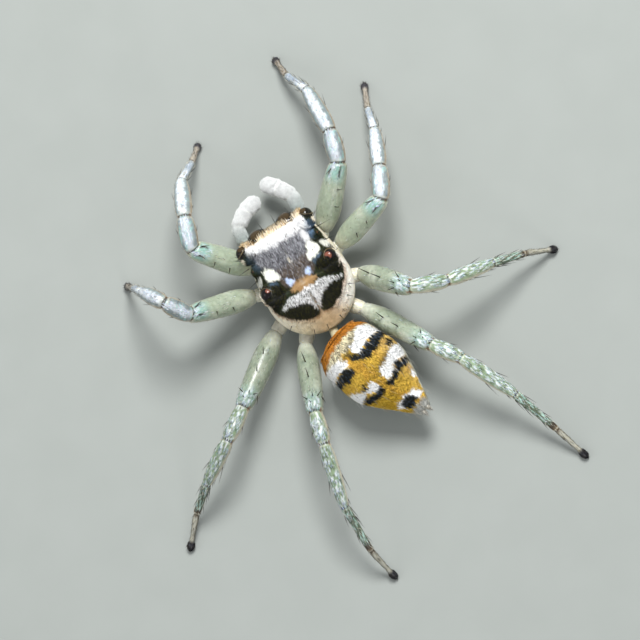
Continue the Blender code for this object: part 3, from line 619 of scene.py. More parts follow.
def new_mesh_object(name, verts, faces, material, tints=None, uvs=None, smooth=True):
    """Mesh object from points in body millimetres, with a tint for each point and a UV for each corner."""
    mesh = bpy.data.meshes.new(name)
    mesh.from_pydata(world(verts).tolist(), [], faces)
    mesh.materials.append(material)
    if tints is not None:
        rgba = np.ones((len(verts), 4), np.float32)
        rgba[:, :3] = tints
        layer = mesh.color_attributes.new("tint", "FLOAT_COLOR", "POINT")
        layer.data.foreach_set("color", rgba.ravel())
    if uvs is not None:
        layer = mesh.uv_layers.new(name="OFBake")
        layer.data.foreach_set("uv", np.asarray(uvs, np.float32).ravel())
    mesh.polygons.foreach_set("use_smooth", np.full(len(mesh.polygons), smooth))
    mesh.update()
    made = bpy.data.objects.new(name, mesh)
    bpy.context.scene.collection.objects.link(made)
    return made


def band_faces(first, rings, sides, closed=False):
    """Quads between neighbouring rings of points; closed joins the last ring to the first."""
    faces = []
    for r in range(rings if closed else rings - 1):
        a, b = first + r * sides, first + (r + 1) % rings * sides
        for k in range(sides):
            j = (k + 1) % sides
            faces.append((a + k, b + k, b + j, a + j))
    return faces


# Places where hairs grow: points, normals, the way that a hair lies, and grid row and side numbers
Roots = namedtuple("Roots", "place normal lie row side")


class Skin:
    """A closed surface as a grid: rings along it, points round each ring."""

    def __init__(self, points):
        self.points = points
        along = np.gradient(points, axis=0)
        around = (np.roll(points, -1, axis=1) - np.roll(points, 1, axis=1)) / 2
        normal = unit(np.cross(around, along))
        centre = points.mean(axis=1, keepdims=True)
        self.flipped = np.mean(np.sum(normal * (points - centre), axis=-1)) < 0
        self.normal = -normal if self.flipped else normal
        self.along = unit(along)
        steps = np.linalg.norm(np.diff(points, axis=0), axis=-1).mean(axis=1)
        lengths = np.concatenate(([0.0], np.cumsum(steps)))
        girth = np.linalg.norm(around, axis=-1).sum(axis=1).max()
        span = max(lengths[-1], girth)
        self.v = lengths / span
        self.u_width = girth / span

    def uv(self, row, side):
        """Place on the unrolled surface, for row and side numbers that may be fractions."""
        v = np.interp(row, np.arange(len(self.v)), self.v)
        return np.stack([side / self.points.shape[1] * self.u_width, v], axis=-1)

    def build(self, name, tints, material):
        rows, sides, _ = self.points.shape
        r, i = (n.ravel() for n in np.meshgrid(np.arange(rows - 1), np.arange(sides), indexing="ij"))
        order = slice(None, None, -1 if self.flipped else 1)
        corners = ((r, i), (r, i + 1), (r + 1, i + 1), (r + 1, i))
        quads = np.stack([row * sides + side % sides for row, side in corners], axis=1)
        faces = quads[:, order].tolist()
        uvs = [np.stack([self.uv(row, side) for row, side in corners], axis=1)[:, order].reshape(-1, 2)]
        for row, way_round in ((0, -1), (rows - 1, 1)):
            end = np.arange(sides)[::way_round][order]
            faces.append((row * sides + end).tolist())
            uvs.append(self.uv(np.full(sides, row), end))
        verts = self.points.reshape(-1, 3)
        return new_mesh_object(name, verts, faces, material, tints.reshape(-1, 3), np.concatenate(uvs))

    def scatter(self, count, density=1.0):
        """Random places on the surface, spread by its area and a density."""
        rows, sides, _ = self.points.shape
        a, c = self.points[:-1], self.points[1:]
        b = np.roll(self.points, -1, axis=1)[:-1]
        area = np.linalg.norm(np.cross(b - a, c - a), axis=-1)
        area = area * np.broadcast_to(density, (rows, sides))[:-1]
        share = (area / area.sum()).ravel()
        pick = rng.choice(len(share), size=count, p=share)
        row, side = pick // sides, pick % sides
        s, t = rng.uniform(size=count), rng.uniform(size=count)
        after = (side + 1) % sides

        def read(grid):
            low, high = (mix(grid[r, side], grid[r, after], s) for r in (row, row + 1))
            return mix(low, high, t)

        return Roots(read(self.points), unit(read(self.normal)), unit(read(self.along)), row + t, side + s)


def dressed(name, skin, tints, nodes, material=skin_material):
    """Skin that stands for solids of the frame."""
    made = skin.build(name, tints, material)
    if nodes:
        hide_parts(*nodes)
    return made


def hair_coat(name, skin, at, tints, length, width, lift, spread=0.25, fine=False, material=hair_material):
    """One mesh of closed tapered hairs: places of growth, tints, and size and lift for each hair."""
    count = len(at.place)
    length = (length * rng.uniform(0.75, 1.2, count))[:, None]
    half = (width * rng.uniform(0.8, 1.2, count) / 2)[:, None]
    lift = (lift * rng.uniform(0.6, 1.4, count))[:, None]
    lie = unit(at.lie - at.normal * np.sum(at.lie * at.normal, axis=1, keepdims=True))
    lie = unit(lie + np.cross(lie, at.normal) * rng.normal(0, spread, count)[:, None])
    across = unit(np.cross(lie, at.normal))
    climb = np.sin(lift) * at.normal + np.cos(lift) * lie
    droop = unit(climb - at.normal * HAIR_DROOP * np.sin(lift))
    start = at.place - at.normal * HAIR_SINK
    middle = start + climb * 0.5 * length
    tip = middle + droop * 0.5 * length
    rings = ((start, 1.0),) if fine else ((start, BROAD_HAIR_ROOT), (middle, 1.0))
    shapes = FINE_HAIR if fine else BROAD_HAIR
    on_map = TUFT_CORNERS[:3] + TUFT_CORNERS[6:] if fine else TUFT_CORNERS
    corners = []
    for place, share in rings:
        rise = at.normal * half * share * HAIR_THICKNESS
        corners += [place + across * half * share, place - across * half * share, place + rise]
    verts = np.stack(corners + [tip], axis=1)
    per_hair = verts.shape[1]
    offsets = np.arange(count)[:, None] * per_hair
    groups = [(offsets + np.array(shape)).tolist() for shape in shapes]
    faces = [face for group in zip(*groups) for face in group]
    colours = np.repeat(tints[:, None, :], per_hair, axis=1)
    # painted shade: the root ring of each hair is darker
    colours[:, :3] *= HAIR_ROOT_PAINTED_SHADE
    root_uv = skin.uv(at.row, at.side)
    uvs = np.stack([root_uv + TUFT_ON_MAP * np.array(on_map[k]) for shape in shapes for k in shape], axis=1)
    return new_mesh_object(name, verts.reshape(-1, 3), faces, material, colours.reshape(-1, 3),
                           uvs.reshape(-1, 2), smooth=not fine)


def plain_hair(name, skin, count, colour, density=1.0, **sizes):
    """Coat of one colour."""
    at = skin.scatter(count, density)
    return hair_coat(name, skin, at, spread_of(colour, at.place), **sizes)


def bristle_mesh(name, curves, material=bristle_material, sides=6, rings=6):
    """Tapered curved bristles: each is (root, direction, bend direction, length, radius)."""
    verts, faces = [], []
    for root, direction, bend, length, radius in curves:
        way, side, other = across_way(direction)
        ring = circle(side, other, sides)
        first = len(verts)
        faces += band_faces(first, rings, sides)
        for r in range(rings):
            t = r / (rings - 1)
            place = np.array(root) + way * length * t + np.array(bend) * length * t * t
            verts.extend(place + ring * (radius * (1 - 0.9 * t ** 1.3)))
        faces.append([first + k for k in range(sides)])
        faces.append([first + (rings - 1) * sides + k for k in reversed(range(sides))])
    return new_mesh_object(name, np.array(verts), faces, material)


def rounded_path(joints, stations, softness):
    """Points and directions at distances along a jointed line whose bends are rounded."""
    joints = np.array(joints)
    runs = np.diff(joints, axis=0)
    lengths = np.linalg.norm(runs, axis=1)
    ways = runs / lengths[:, None]
    starts = np.concatenate(([0.0], np.cumsum(lengths)))
    places, directions = [], []
    for s in stations:
        k = int(np.clip(np.searchsorted(starts, s, side="right") - 1, 0, len(runs) - 1))
        place, way = joints[k] + ways[k] * (s - starts[k]), ways[k]
        for j in (k, k + 1):
            if not 0 < j < len(joints) - 1:
                continue
            reach = min(softness, 0.40 * lengths[j - 1], 0.40 * lengths[j])
            offset = s - starts[j]
            if abs(offset) < reach:
                t = (offset + reach) / (2 * reach)
                a, b = joints[j] - ways[j - 1] * reach, joints[j] + ways[j] * reach
                place = a * (1 - t) ** 2 + 2 * joints[j] * t * (1 - t) + b * t * t
                way = unit(ways[j - 1] * (1 - t) + ways[j] * t)
        places.append(place)
        directions.append(way)
    return np.array(places), np.array(directions), starts


def tube_grid(places, ways, radii, sides, tall=1.0):
    across = unit(np.cross(ways, UP))
    rise = np.cross(across, ways)
    turn = angles(sides)[None, :, None]
    ring = across[:, None, :] * np.cos(turn) * radii[:, None, None]
    ring = ring + rise[:, None, :] * np.sin(turn) * (radii * tall)[:, None, None]
    return places[:, None, :] + ring


def nearness_to_bends(stations, starts):
    return np.min(np.abs(stations[:, None] - starts[None, 1:-1]), axis=1)


def waisted(radii, near_bend, depth, reach):
    """Radii that are a little smaller at each bend."""
    return radii * (1 - depth * np.exp(-(near_bend / reach) ** 2))


def distance(points, place):
    return np.linalg.norm(points - place, axis=-1)


# Carapace

def carapace_half_width(y):
    if y < CARAPACE_BROADEST:
        ahead = (CARAPACE_BROADEST - y) / (CARAPACE_BROADEST - CARAPACE_FRONT)
        return CARAPACE_HALF_WIDTH - CARAPACE_FRONT_NARROWING * ahead ** 2
    behind = (y - CARAPACE_BROADEST) / (CARAPACE_REAR - CARAPACE_BROADEST)
    return CARAPACE_HALF_WIDTH * math.sqrt(max(0.0, 1 - behind ** 2))


def carapace_ring(y, inset):
    half = carapace_half_width(y) - inset
    top = between(CARAPACE_TOP, y) - inset
    bottom = CARAPACE_UNDERSIDE + 0.3 * inset
    power = 2 / between(CARAPACE_SQUARENESS, y)
    turn = angles(CARAPACE_SIDES)
    across, rise = np.cos(turn), np.sin(turn)
    height = np.abs(rise) ** power
    x_up = half * (1 - CARAPACE_LEAN * height) * squared(across, power)
    z_up = CARAPACE_EDGE_HEIGHT + (top - CARAPACE_EDGE_HEIGHT) * height
    x_low = half * squared(across, SQUARE_POWER)
    z_low = CARAPACE_EDGE_HEIGHT - (CARAPACE_EDGE_HEIGHT - bottom) * np.abs(rise) ** SQUARE_POWER
    x = np.where(rise >= 0, x_up, x_low)
    return np.stack([x, np.full_like(x, y), np.where(rise >= 0, z_up, z_low)], axis=-1)


def push_out_mounds(points):
    """Raises the surface over the swellings that carry the eyes."""
    hub = points * (0, 1, 0) + UP * MOUND_HUB_HEIGHT
    reach = np.linalg.norm(points - hub, axis=1)
    ray = unit(points - hub)
    upper = ramp(MOUND_HUB_HEIGHT, 1.0, points[:, 2])
    for centre, radius in EYE_MOUNDS:
        for side in SIDES:
            to_centre = mirrored(centre, side) - hub
            b = np.sum(ray * to_centre, axis=1)
            rest = radius ** 2 - (np.sum(to_centre ** 2, axis=1) - b * b)
            sphere = b + np.sqrt(np.maximum(rest, 0))
            reach = reach + np.maximum(sphere - reach, 0) * ramp(0, 0.25 * radius ** 2, rest) * upper
    return hub + ray * reach[:, None]


def make_carapace_skin():
    depth, edge = CARAPACE_COAT_DEPTH, CARAPACE_FRONT_ROUND
    front = CARAPACE_FRONT + depth
    rings = []
    for share in FACE_RINGS:
        ring = carapace_ring(CARAPACE_FRONT, edge + depth)
        ring[:, 0] *= share
        ring[:, 1] = front
        ring[:, 2] = FACE_MIDDLE_HEIGHT + (ring[:, 2] - FACE_MIDDLE_HEIGHT) * share
        rings.append(ring)
    for turn in np.radians(range(0, 91, 15)):
        inset = edge * (1 - math.sin(turn)) ** 1.2 + depth
        rings.append(carapace_ring(front + edge * (1 - math.cos(turn)), inset))
    for y in np.linspace(front + edge, CARAPACE_BROADEST, 64)[1:]:
        rings.append(carapace_ring(y, depth))
    for turn in np.radians(np.linspace(0, 86, 66)[1:]):
        y = CARAPACE_BROADEST + (CARAPACE_REAR - depth - CARAPACE_BROADEST) * math.sin(turn)
        rings.append(carapace_ring(y, depth * math.cos(turn)))
    grid = np.array(rings)
    return Skin(push_out_mounds(grid.reshape(-1, 3)).reshape(grid.shape))


def carapace_tint(p):
    """Markings of the carapace at any point on it or on its hairs."""
    x, y, z = np.moveaxis(p, -1, 0)
    out = np.abs(x)
    right = ramp(0.05, -0.05, x)
    rough = 0.018 * wander(p, 0.030, 3)
    fine = wander(p, 0.012, 9)
    upper = ramp(0.84, 0.92, z)

    def mark(outline, edge, ragged):
        return inside(out, y, outline, edge, ragged)

    # ivory rim and sides, browner behind
    tint = paint(
        spread_of(RIM, p),
        ((0.96, 0.91, 0.82), right * ramp(-0.10, 0.15, y) * ramp(0.86, 0.70, y)),
        ((0.74, 0.63, 0.42), ramp(0.50, 0.80, y) * 0.8 * ramp(-0.40, 0.0, x)),
        ((0.50, 0.35, 0.17), ellipse(x, y, (-0.06, 0.86), (0.34, 0.17), 0.6, rough * 4) * 0.6),
        ((0.42, 0.34, 0.20), ramp(0.82, 0.66, z) * 0.45),
    )
    # the dark field on top, edged with a rusty line
    line = mark(FIELD, 0.020, rough * 0.5 + 0.022) * ramp(0.0, 0.3, y) * upper
    field = mark(FIELD, 0.012, rough * 0.5) * upper
    dark = mix(spread_of(BLACK, p), (0.030, 0.045, 0.018), 0.5 + 0.5 * fine)
    # silvery grey middle of the head, browner toward the rear
    grey = paint(
        spread_of(SILVER, p),
        (DARK_GREY, ramp(-0.1, 0.9, fine) * 0.6),
        ((0.14, 0.105, 0.078), ramp(-0.38, -0.02, y + fine * 0.05) * 0.90),
    )
    # steel blue beside the grey middle, stronger on the right, where the extra blue is a painted glint
    blue = mix(spread_of(STEEL, p), BLACK, ramp(0.0, 0.8, fine) * 0.7)
    tint = paint(
        tint,
        (RUST * 0.8, line * 0.55),
        (dark, field),
        (grey, mark(GREY_MIDDLE, 0.03, rough) * upper),
        ((0.10, 0.06, 0.03), ellipse(x, y, (0.04, 0.02), (0.12, 0.09), 0.5) * 0.7),
        (blue, mark(BLUE_SIDE, 0.03, rough) * (0.25 + 0.7 * right)),
        (STEEL, mark(BLUE_BY_EYE, 0.03, rough) * 0.75),
        (BLACK, mark(BLACK_BY_EYE, 0.02, rough) * field),
    )
    # white band behind the front eyes, running into the grey in streaks; peach fringe in front of it
    strip = ellipse(x, y, (-0.45, -0.53), (0.055, 0.16), 0.5) * 0.75
    band = 1 - ramp(-0.76, -0.60, y + fine * 0.055 + 0.10 * ramp(0.2, 0.6, x))
    band = band * ramp(0.62, 0.56, out)
    fringe = 1 - ramp(-0.925, -0.875, y + rough)
    # the chevron is greyer on its stem
    chevron = mix(spread_of(WHITE, p), (0.50, 0.47, 0.40), ramp(0.50, 0.66, y + 0.03 * fine) * 0.7)
    face = ramp(-0.90, -0.98, y) * ramp(1.15, 1.05, z)
    tint = paint(
        tint,
        (WHITE, np.maximum(band, strip) * ramp(1.12, 1.22, z)),
        (PEACH, fringe * ramp(1.10, 1.20, z) * ramp(0.66, 0.58, out)),
        (PATCH_CREAM, mark(CREAM_PATCH, 0.015, rough - 0.010)),
        (PATCH_CREAM, mark(CREAM_EDGE, 0.015, rough * 0.8) * 0.8 * upper),
        (PALE_BLUE, mark(BLUE_SPOT, 0.015, rough - 0.014)),
        (OCHRE, mark(OCHRE_BAR, 0.02, rough) * 0.9),
        (BLACK, mark(BLACK_REAR, 0.012, rough * 0.6) * upper),
        (chevron, mark(CHEVRON, 0.015, rough - 0.014) * upper),
        ((0.50, 0.36, 0.20), face * 0.8),
    )
    return np.clip(tint * (1 + fine[..., None] * 0.04), DARKEST, BRIGHTEST)


def make_front_fringe(skin):
    """Peach hairs that stand forward over the front eyes."""
    x, y, z = np.moveaxis(skin.points, -1, 0)
    strip = ramp(-0.84, -0.92, y) * ramp(1.12, 1.22, z) * ramp(0.60, 0.52, np.abs(x))
    count = FRINGE_HAIRS
    at = skin.scatter(count, strip + 1e-7)
    at = at._replace(lie=np.broadcast_to(FORWARD + UP * 1e-3, at.place.shape))
    pale = np.clip(rng.uniform(-0.3, 0.6, count) + ramp(-0.93, -0.84, at.place[:, 1]) * 0.4, 0, 1)
    colour = mix(spread_of(PEACH, at.place), WHITE * (0.98, 0.95, 0.86), pale)
    colour[rng.uniform(size=count) < 0.12] = (0.24, 0.13, 0.05)
    return hair_coat("carapace_fringe", skin, at, colour, length=0.168, width=0.013, lift=0.20, spread=0.14)


def make_face_hair(skin, away_from_eyes):
    """Pale hairs that hang over the face, rusty close round the front middle eyes."""
    y, z = skin.points[..., 1], skin.points[..., 2]
    face = ramp(-0.88, -0.93, y) * ramp(0.66, 0.72, z) * ramp(1.30, 1.18, z)
    count = FACE_HAIRS
    at = skin.scatter(count, face * away_from_eyes + 1e-7)
    hang = np.stack([at.place[:, 0] * 0.5, np.full(count, -0.25), np.full(count, -1.0)], axis=-1)
    eye = EYES["front_middle"][0]
    nearest = np.min([distance(at.place, mirrored(eye, side)) for side in SIDES], axis=0)
    ring = ramp(0.320, 0.275, nearest + rng.normal(0, 0.012, count))
    colour = mix(spread_of(WHITE * (0.96, 0.93, 0.86), at.place), (0.52, 0.24, 0.06), ring * 0.85)
    colour[rng.uniform(size=count) < 0.06] = (0.22, 0.14, 0.07)
    return hair_coat("carapace_face_hair", skin, at._replace(lie=unit(hang)), colour,
                     length=0.090, width=0.012, lift=0.24, spread=0.22)


def make_carapace_coat(number, count, skin, density):
    """Hairs that lie forward on the head and backward behind it: broad white ones first, then fine ones."""
    broad = number == 0
    at = skin.scatter(count, density)
    x, y = at.place[:, 0], at.place[:, 1]
    thorax = ramp(0.10, 0.20, y)[:, None]
    apart = LEFT * np.tanh(x / 0.12)[:, None] * 0.35
    lie = unit(FORWARD * (1 - thorax) - FORWARD * thorax + apart * thorax + FORWARD * 1e-3)
    colour = carapace_tint(at.place + lie * 0.03 + rng.normal(0, 0.007, lie.shape))
    bright = colour.mean(axis=1)
    white = bright > 0.55
    velvet = bright < 0.04
    flecks = rng.uniform(size=count)
    grey = (inside(np.abs(x), y, GREY_MIDDLE) > 0.5) & ~white
    on_chevron = inside(np.abs(x), y, CHEVRON) > 0.4
    colour[grey & (flecks < 0.27 - 0.16 * ramp(-0.50, -0.10, y))] = (0.54, 0.55, 0.58)
    colour[grey & (flecks > 0.66)] = (0.026, 0.023, 0.026)
    colour[grey & (y > -0.22) & (flecks > 0.36) & (flecks < 0.66)] = (0.15, 0.105, 0.068)
    colour[white & (flecks < 0.025)] = (0.10, 0.08, 0.06)
    colour[white & on_chevron & (flecks < 0.15)] = (0.085, 0.070, 0.050)
    colour[velvet & (flecks < 0.20)] = (0.060, 0.056, 0.012)
    keep = white | (not broad)
    kept = Roots(*(values[keep] for values in at._replace(lie=lie)))
    length, lift = np.where(velvet, 0.060, 0.085), np.where(velvet, 0.50, 0.22)
    return hair_coat(f"carapace_hair_{number}", skin, kept, colour[keep], length[keep],
                     0.017 if broad else 0.010, lift[keep], spread=0.16, fine=not broad)


def make_carapace():
    skin = make_carapace_skin()
    pieces = [dressed("carapace_skin", skin, carapace_tint(skin.points), ["carapace"])]
    x, y, z = np.moveaxis(skin.points, -1, 0)
    away_from_eyes = np.ones(x.shape)
    for centre, radius, _ in EYES.values():
        for side in SIDES:
            away = distance(skin.points, mirrored(centre, side))
            away_from_eyes *= ramp(radius * 0.98, radius * 1.06, away)
    top = ramp(0.90, 1.00, z + 0.12 * ramp(0.1, 0.8, y))
    density = away_from_eyes * top * (0.04 + inside(np.abs(x), y, FIELD))
    for number, count in enumerate(CARAPACE_HAIRS):
        pieces.append(make_carapace_coat(number, count, skin, density))
    pieces.append(make_front_fringe(skin))
    pieces.append(make_face_hair(skin, away_from_eyes))
    return pieces


# Abdomen

def abdomen_axis():
    swing = math.radians(ABDOMEN_SWING)
    return np.array([-math.sin(swing), math.cos(swing), 0.0])


def abdomen_half_width(along):
    ahead = np.clip((ABDOMEN_FRONT_ROUND - along) / ABDOMEN_FRONT_ROUND, 0, 1)
    front = ABDOMEN_TAPER[0][1] * np.sqrt(np.maximum(0.0, 1 - ahead ** 2.4))
    return ABDOMEN_HALF_WIDTH * np.where(along < ABDOMEN_FRONT_ROUND, front, between(ABDOMEN_TAPER, along))


def make_abdomen_skin():
    axis = abdomen_axis()
    depth = ABDOMEN_COAT_DEPTH
    front = ABDOMEN_FRONT_ROUND * (1 - np.cos(np.radians(np.linspace(6, 90, 44))))
    rear = np.linspace(ABDOMEN_FRONT_ROUND, ABDOMEN_LENGTH - depth, 96)[1:]
    rings = []
    for along in np.concatenate([front, rear]):
        half = max(float(abdomen_half_width(along)) - depth, 0.02)
        reach = along + (depth if along < 0.1 else 0.0)
        centre = np.array([*ABDOMEN_FRONT, between(ABDOMEN_AXIS_HEIGHT, along)]) + axis * reach
        rings.append(centre + circle(np.cross(UP, axis) * half, UP * half * ABDOMEN_TALL, ABDOMEN_SIDES))
    return Skin(np.array(rings))


def abdomen_place(p):
    """Along the abdomen, across it to the animal's left, that as a share of its width, and how far up."""
    axis = abdomen_axis()
    left = np.cross(axis, UP)
    from_front = p - np.array([*ABDOMEN_FRONT, 0.0])
    from_marks = p - np.array([*ABDOMEN_MARKS_FRONT, 0.0])
    along = from_front @ axis
    half = np.maximum(abdomen_half_width(np.clip(along, 0.02, ABDOMEN_LENGTH)), 0.03)
    height = p[..., 2] - between(ABDOMEN_AXIS_HEIGHT, along)
    return from_marks @ axis, from_marks @ left, (from_front @ left) / half, height / (half * ABDOMEN_TALL)


def abdomen_tint(p):
    """Markings of the abdomen at any point on it or on its hairs."""
    s, t, share, up = abdomen_place(p)
    rough = 0.022 * wander(p, 0.030, 21)
    fine = wander(p, 0.014, 25)
    cream = mix(spread_of(CREAM, p), (0.20, 0.15, 0.08), ramp(0.2, 0.9, fine) * 0.5)
    # gold, cream behind the rust band of the front
    tint = paint(
        spread_of(GOLD, p),
        (DARK_GOLD, ramp(-0.2, 0.9, wander(p, 0.06, 23)) * 0.5),
        ((0.56, 0.36, 0.030), ramp(0.9, 1.6, s) * ramp(0.05, 0.45, share) * 0.8),
        ((0.88, 0.62, 0.24), ramp(-0.10, -0.45, t) * 0.5),
        (cream, 1 - ramp(0.40, 0.46, s + rough * 1.5)),
        (RUST, 1 - ramp(0.205, 0.245, s - 0.28 * (t - 0.05) ** 2 + rough)),
        *(((0.05, 0.06, 0.05), inside(s, t, outline, 0.02, rough) * 0.65) for outline in DUSKY_EDGES),
        *((WHITE, inside(s, t, outline, 0.012, rough)) for outline in WHITE_MARKS),
        *((BLACK, inside(s, t, outline, 0.014, rough)) for outline in BLACK_MARKS),
    )
    # grey tip and pale flanks and underside
    low = ramp(0.10, -0.16, up + rough * 6 - 0.22 * ramp(0.0, -0.5, share) * ramp(0.8, 1.3, s))
    tint = paint(
        tint,
        (PALE_GREY, ramp(1.88, 1.95, s + rough)),
        ((0.60, 0.60, 0.50), low),
        ((0.14, 0.13, 0.10), ramp(-0.80, -0.92, up + rough * 3) * 0.45),
    )
    return np.clip(tint, DARKEST, BRIGHTEST)


def make_abdomen_coat(number, count, skin):
    at = skin.scatter(count, 0.25 + ramp(-0.5, 0.1, abdomen_place(skin.points)[3]))
    colour = abdomen_tint(at.place + at.lie * 0.045 + rng.normal(0, 0.006, at.place.shape))
    bright = colour.mean(axis=1)
    flecks = rng.uniform(size=count)
    golden = (colour[:, 0] > 1.5 * colour[:, 2]) & (colour[:, 0] > 0.3)
    creamy = (abdomen_place(at.place)[0] < 0.44) & (colour[:, 2] > 0.30) & (bright < 0.85)
    colour[creamy & (flecks > 0.86)] = (0.055, 0.045, 0.030)
    colour[golden] *= rng.uniform(0.82, 1.20, (golden.sum(), 1))
    rusty = golden & (colour[:, 1] < 0.5 * colour[:, 0])
    colour[golden & (flecks < np.where(rusty, 0.12, 0.03))] = (0.12, 0.06, 0.02)
    colour[(bright > 0.7) & (flecks < 0.02)] = (0.12, 0.11, 0.09)
    colour[(bright < 0.06) & (flecks < 0.15)] = (0.055, 0.080, 0.120)
    pale = bright > 0.6
    return hair_coat(f"abdomen_hair_{number}", skin, at, np.clip(colour, DARKEST, BRIGHTEST),
                     np.where(pale, 0.095, 0.11), np.where(pale, 0.018, 0.013), np.where(pale, 0.08, 0.13),
                     spread=0.14)


def make_abdomen():
    skin = make_abdomen_skin()
    pieces = [dressed("abdomen_skin", skin, abdomen_tint(skin.points), ["abdomen"])]
    for number, count in enumerate(ABDOMEN_HAIRS):
        pieces.append(make_abdomen_coat(number, count, skin))
    # a few long fine hairs that stand out
    at = skin.scatter(ABDOMEN_LONG_HAIRS)
    pale = np.clip(abdomen_tint(at.place) * 0.6 + 0.15, 0, 0.9)
    pieces.append(hair_coat("abdomen_long_hair", skin, at, pale, length=0.24, width=0.007, lift=0.45))
    return pieces


# Legs

def leg_kind(name):
    return "front" if name[-1] in "12" else "hind"


def direction_of(azimuth, elevation, side):
    azimuth, elevation = math.radians(azimuth), math.radians(elevation)
    out, ahead = math.sin(azimuth) * math.cos(elevation), math.cos(azimuth) * math.cos(elevation)
    return mirrored((out, -ahead, math.sin(elevation)), side)


def leg_joints(name):
    """The seven joints of a leg, from inside the body to the tip, which comes down to the floor."""
    side, pair = name.split("_")
    lengths = LEG_LENGTHS[int(pair)]
    root, turns, tarsus_turn = POSE[name]
    joints = [mirrored((*COXA_BASE[int(pair)], COXA_HEIGHT), side), mirrored(root, side)]
    for length, (azimuth, elevation) in zip(lengths, turns):
        joints.append(joints[-1] + direction_of(azimuth, elevation, side) * length)
    down = -math.degrees(math.asin((joints[-1][2] - TARSUS_TIP_HEIGHT) / lengths[-1]))
    joints.append(joints[-1] + direction_of(tarsus_turn, down, side) * lengths[-1])
    return joints


def leg_grid(name):
    """Skin of one leg, and for each ring its segment, share along it, nearness to a joint and distance."""
    radii_of = LEG_RADII[int(name[-1])]
    joints = leg_joints(name)
    joints[0] = joints[0] - unit(joints[1] - joints[0]) * COXA_SUNK
    lengths = np.linalg.norm(np.diff(joints, axis=0), axis=1)
    total = lengths.sum() + lengths[-1] * (SWELL["tarsus"][-1][0] - 1)
    stations = np.linspace(0.0, total, int(total / LEG_STEP))
    tip = [total - LEG_STEP * (1 - math.cos(turn)) for turn in (1.2, 0.6, 0.0)]
    near_bends = [bend + offset for bend in np.cumsum(lengths)[:-1] for offset in JOINT_RINGS]
    stations = np.sort(np.concatenate([stations[:-2], tip, near_bends]))
    places, ways, starts = rounded_path(joints, stations, LEG_BEND)
    index = np.clip(np.searchsorted(starts, stations, side="right") - 1, 0, len(SEGMENTS) - 1)
    share = (stations - starts[index]) / lengths[index]
    swollen = [radii_of[k] * between(SWELL[segment], share) for k, segment in enumerate(SEGMENTS)]
    radii = np.choose(index, swollen)
    near_joint = nearness_to_bends(stations, starts)

    def blurred(values):
        return np.mean([np.interp(stations + offset, stations, values) for offset in JOINT_BLUR], axis=0)

    blend = ramp(0.10, 0.03, near_joint)
    radii = radii * (1 - blend) + blurred(radii) * blend
    radii = waisted(radii, near_joint, *LEG_WAIST) - LEG_COAT_DEPTH
    tall = blurred(np.where(index == FEMUR, FEMUR_TALL, 1.0))
    grid = tube_grid(places, ways, radii, LEG_SIDES, tall)
    grid[..., 2] = np.where(grid[..., 2] < SOLE_HEIGHT, 0.0, grid[..., 2])
    return Skin(grid), index, share, near_joint, stations


def streaks(stations, turn, seed):
    """Irregular values round a leg, drawn out along it."""
    places = np.broadcast_arrays(np.cos(turn) * 0.13, np.sin(turn) * 0.13, stations[:, None] * 0.17)
    return wander(np.stack(places, axis=-1), 0.0085, seed)


def femur_tint(front, p, share, up, streak):
    """Glassy segment, milky at its root and below, teal and streaked before its end."""
    distal = ramp(0.70, 0.90, share) * ramp(0.25, 0.75, up)
    gloom = ramp(0.55, 0.95, streak) * ramp(0.1, 0.4, share)
    tint = paint(
        spread_of(LEG_GLASS * (1.0 if front else 0.85), p),
        (LEG_CREAM, ramp(0.35, -0.45, up) * 0.75),
        (LEG_MILK, ramp(0.30, 0.0, share) * 0.8),
        (LEG_MILK, ramp(0.0, 0.9, wander(p, 0.10, 41)) * 0.30),
        (LEG_GLASS * 0.45, gloom * (0.15 if front else 0.45)),
        (LEG_TEAL, distal * (0.75 if front else 0.35)),
        (LEG_SHINE * (0.92 if front else 1.0), distal * ramp(0.2, 0.8, streak) * (0.35 if front else 0.8)),
    )
    if not front:
        return tint
    # two dark bars before the end of a front femur
    around = np.degrees(np.arccos(np.clip(up, -1, 1)))
    bars = ramp(11, 6, np.abs(around - 30)) * ramp(0.82, 0.86, share) * ramp(0.985, 0.965, share)
    return mix(tint, LEG_LINE, bars * 0.85)


def front_shin_tints(p, index, share, near_joint, up, mottled):
    """Patella and tibia, metatarsus and tarsus of a front leg: a bright stripe on top, partly white scales
    and partly a painted highlight, and darker sides.
    """
    shine = LEG_SHINE * 0.92
    on_patella = index == PATELLA
    flecked = ramp(0.35, 0.8, mottled) * np.where(on_patella, 0.65, 0.20)
    shin = paint(
        spread_of(LEG_TAN, p),
        (LEG_CREAM * 0.75, ramp(0.35, -0.45, up)),
        (LEG_SMOKE, ramp(0.25, 0.60, up) * 0.9),
        # bright stripe on top: white scales with a painted highlight
        (shine * np.where(on_patella, 0.72, 1.0)[..., None],
         ramp(0.80, 0.95, up + 0.06 * mottled) * ramp(0.012, 0.075, near_joint)),
        (LEG_TEAL * 1.2, flecked * ramp(0.2, 0.6, up)),
    )
    late = paint(
        spread_of((0.17, 0.19, 0.18), p),
        ((0.34, 0.40, 0.46), ramp(0.35, 0.8, up)),
        # the stripe with its painted highlight runs on along the metatarsus
        (shine, ramp(0.75, 0.95, up) * ramp(0.60, 0.25, share)),
    )
    return shin, late, mix(spread_of((0.22, 0.19, 0.15), p), (0.36, 0.32, 0.26), ramp(0.4, 0.9, up))


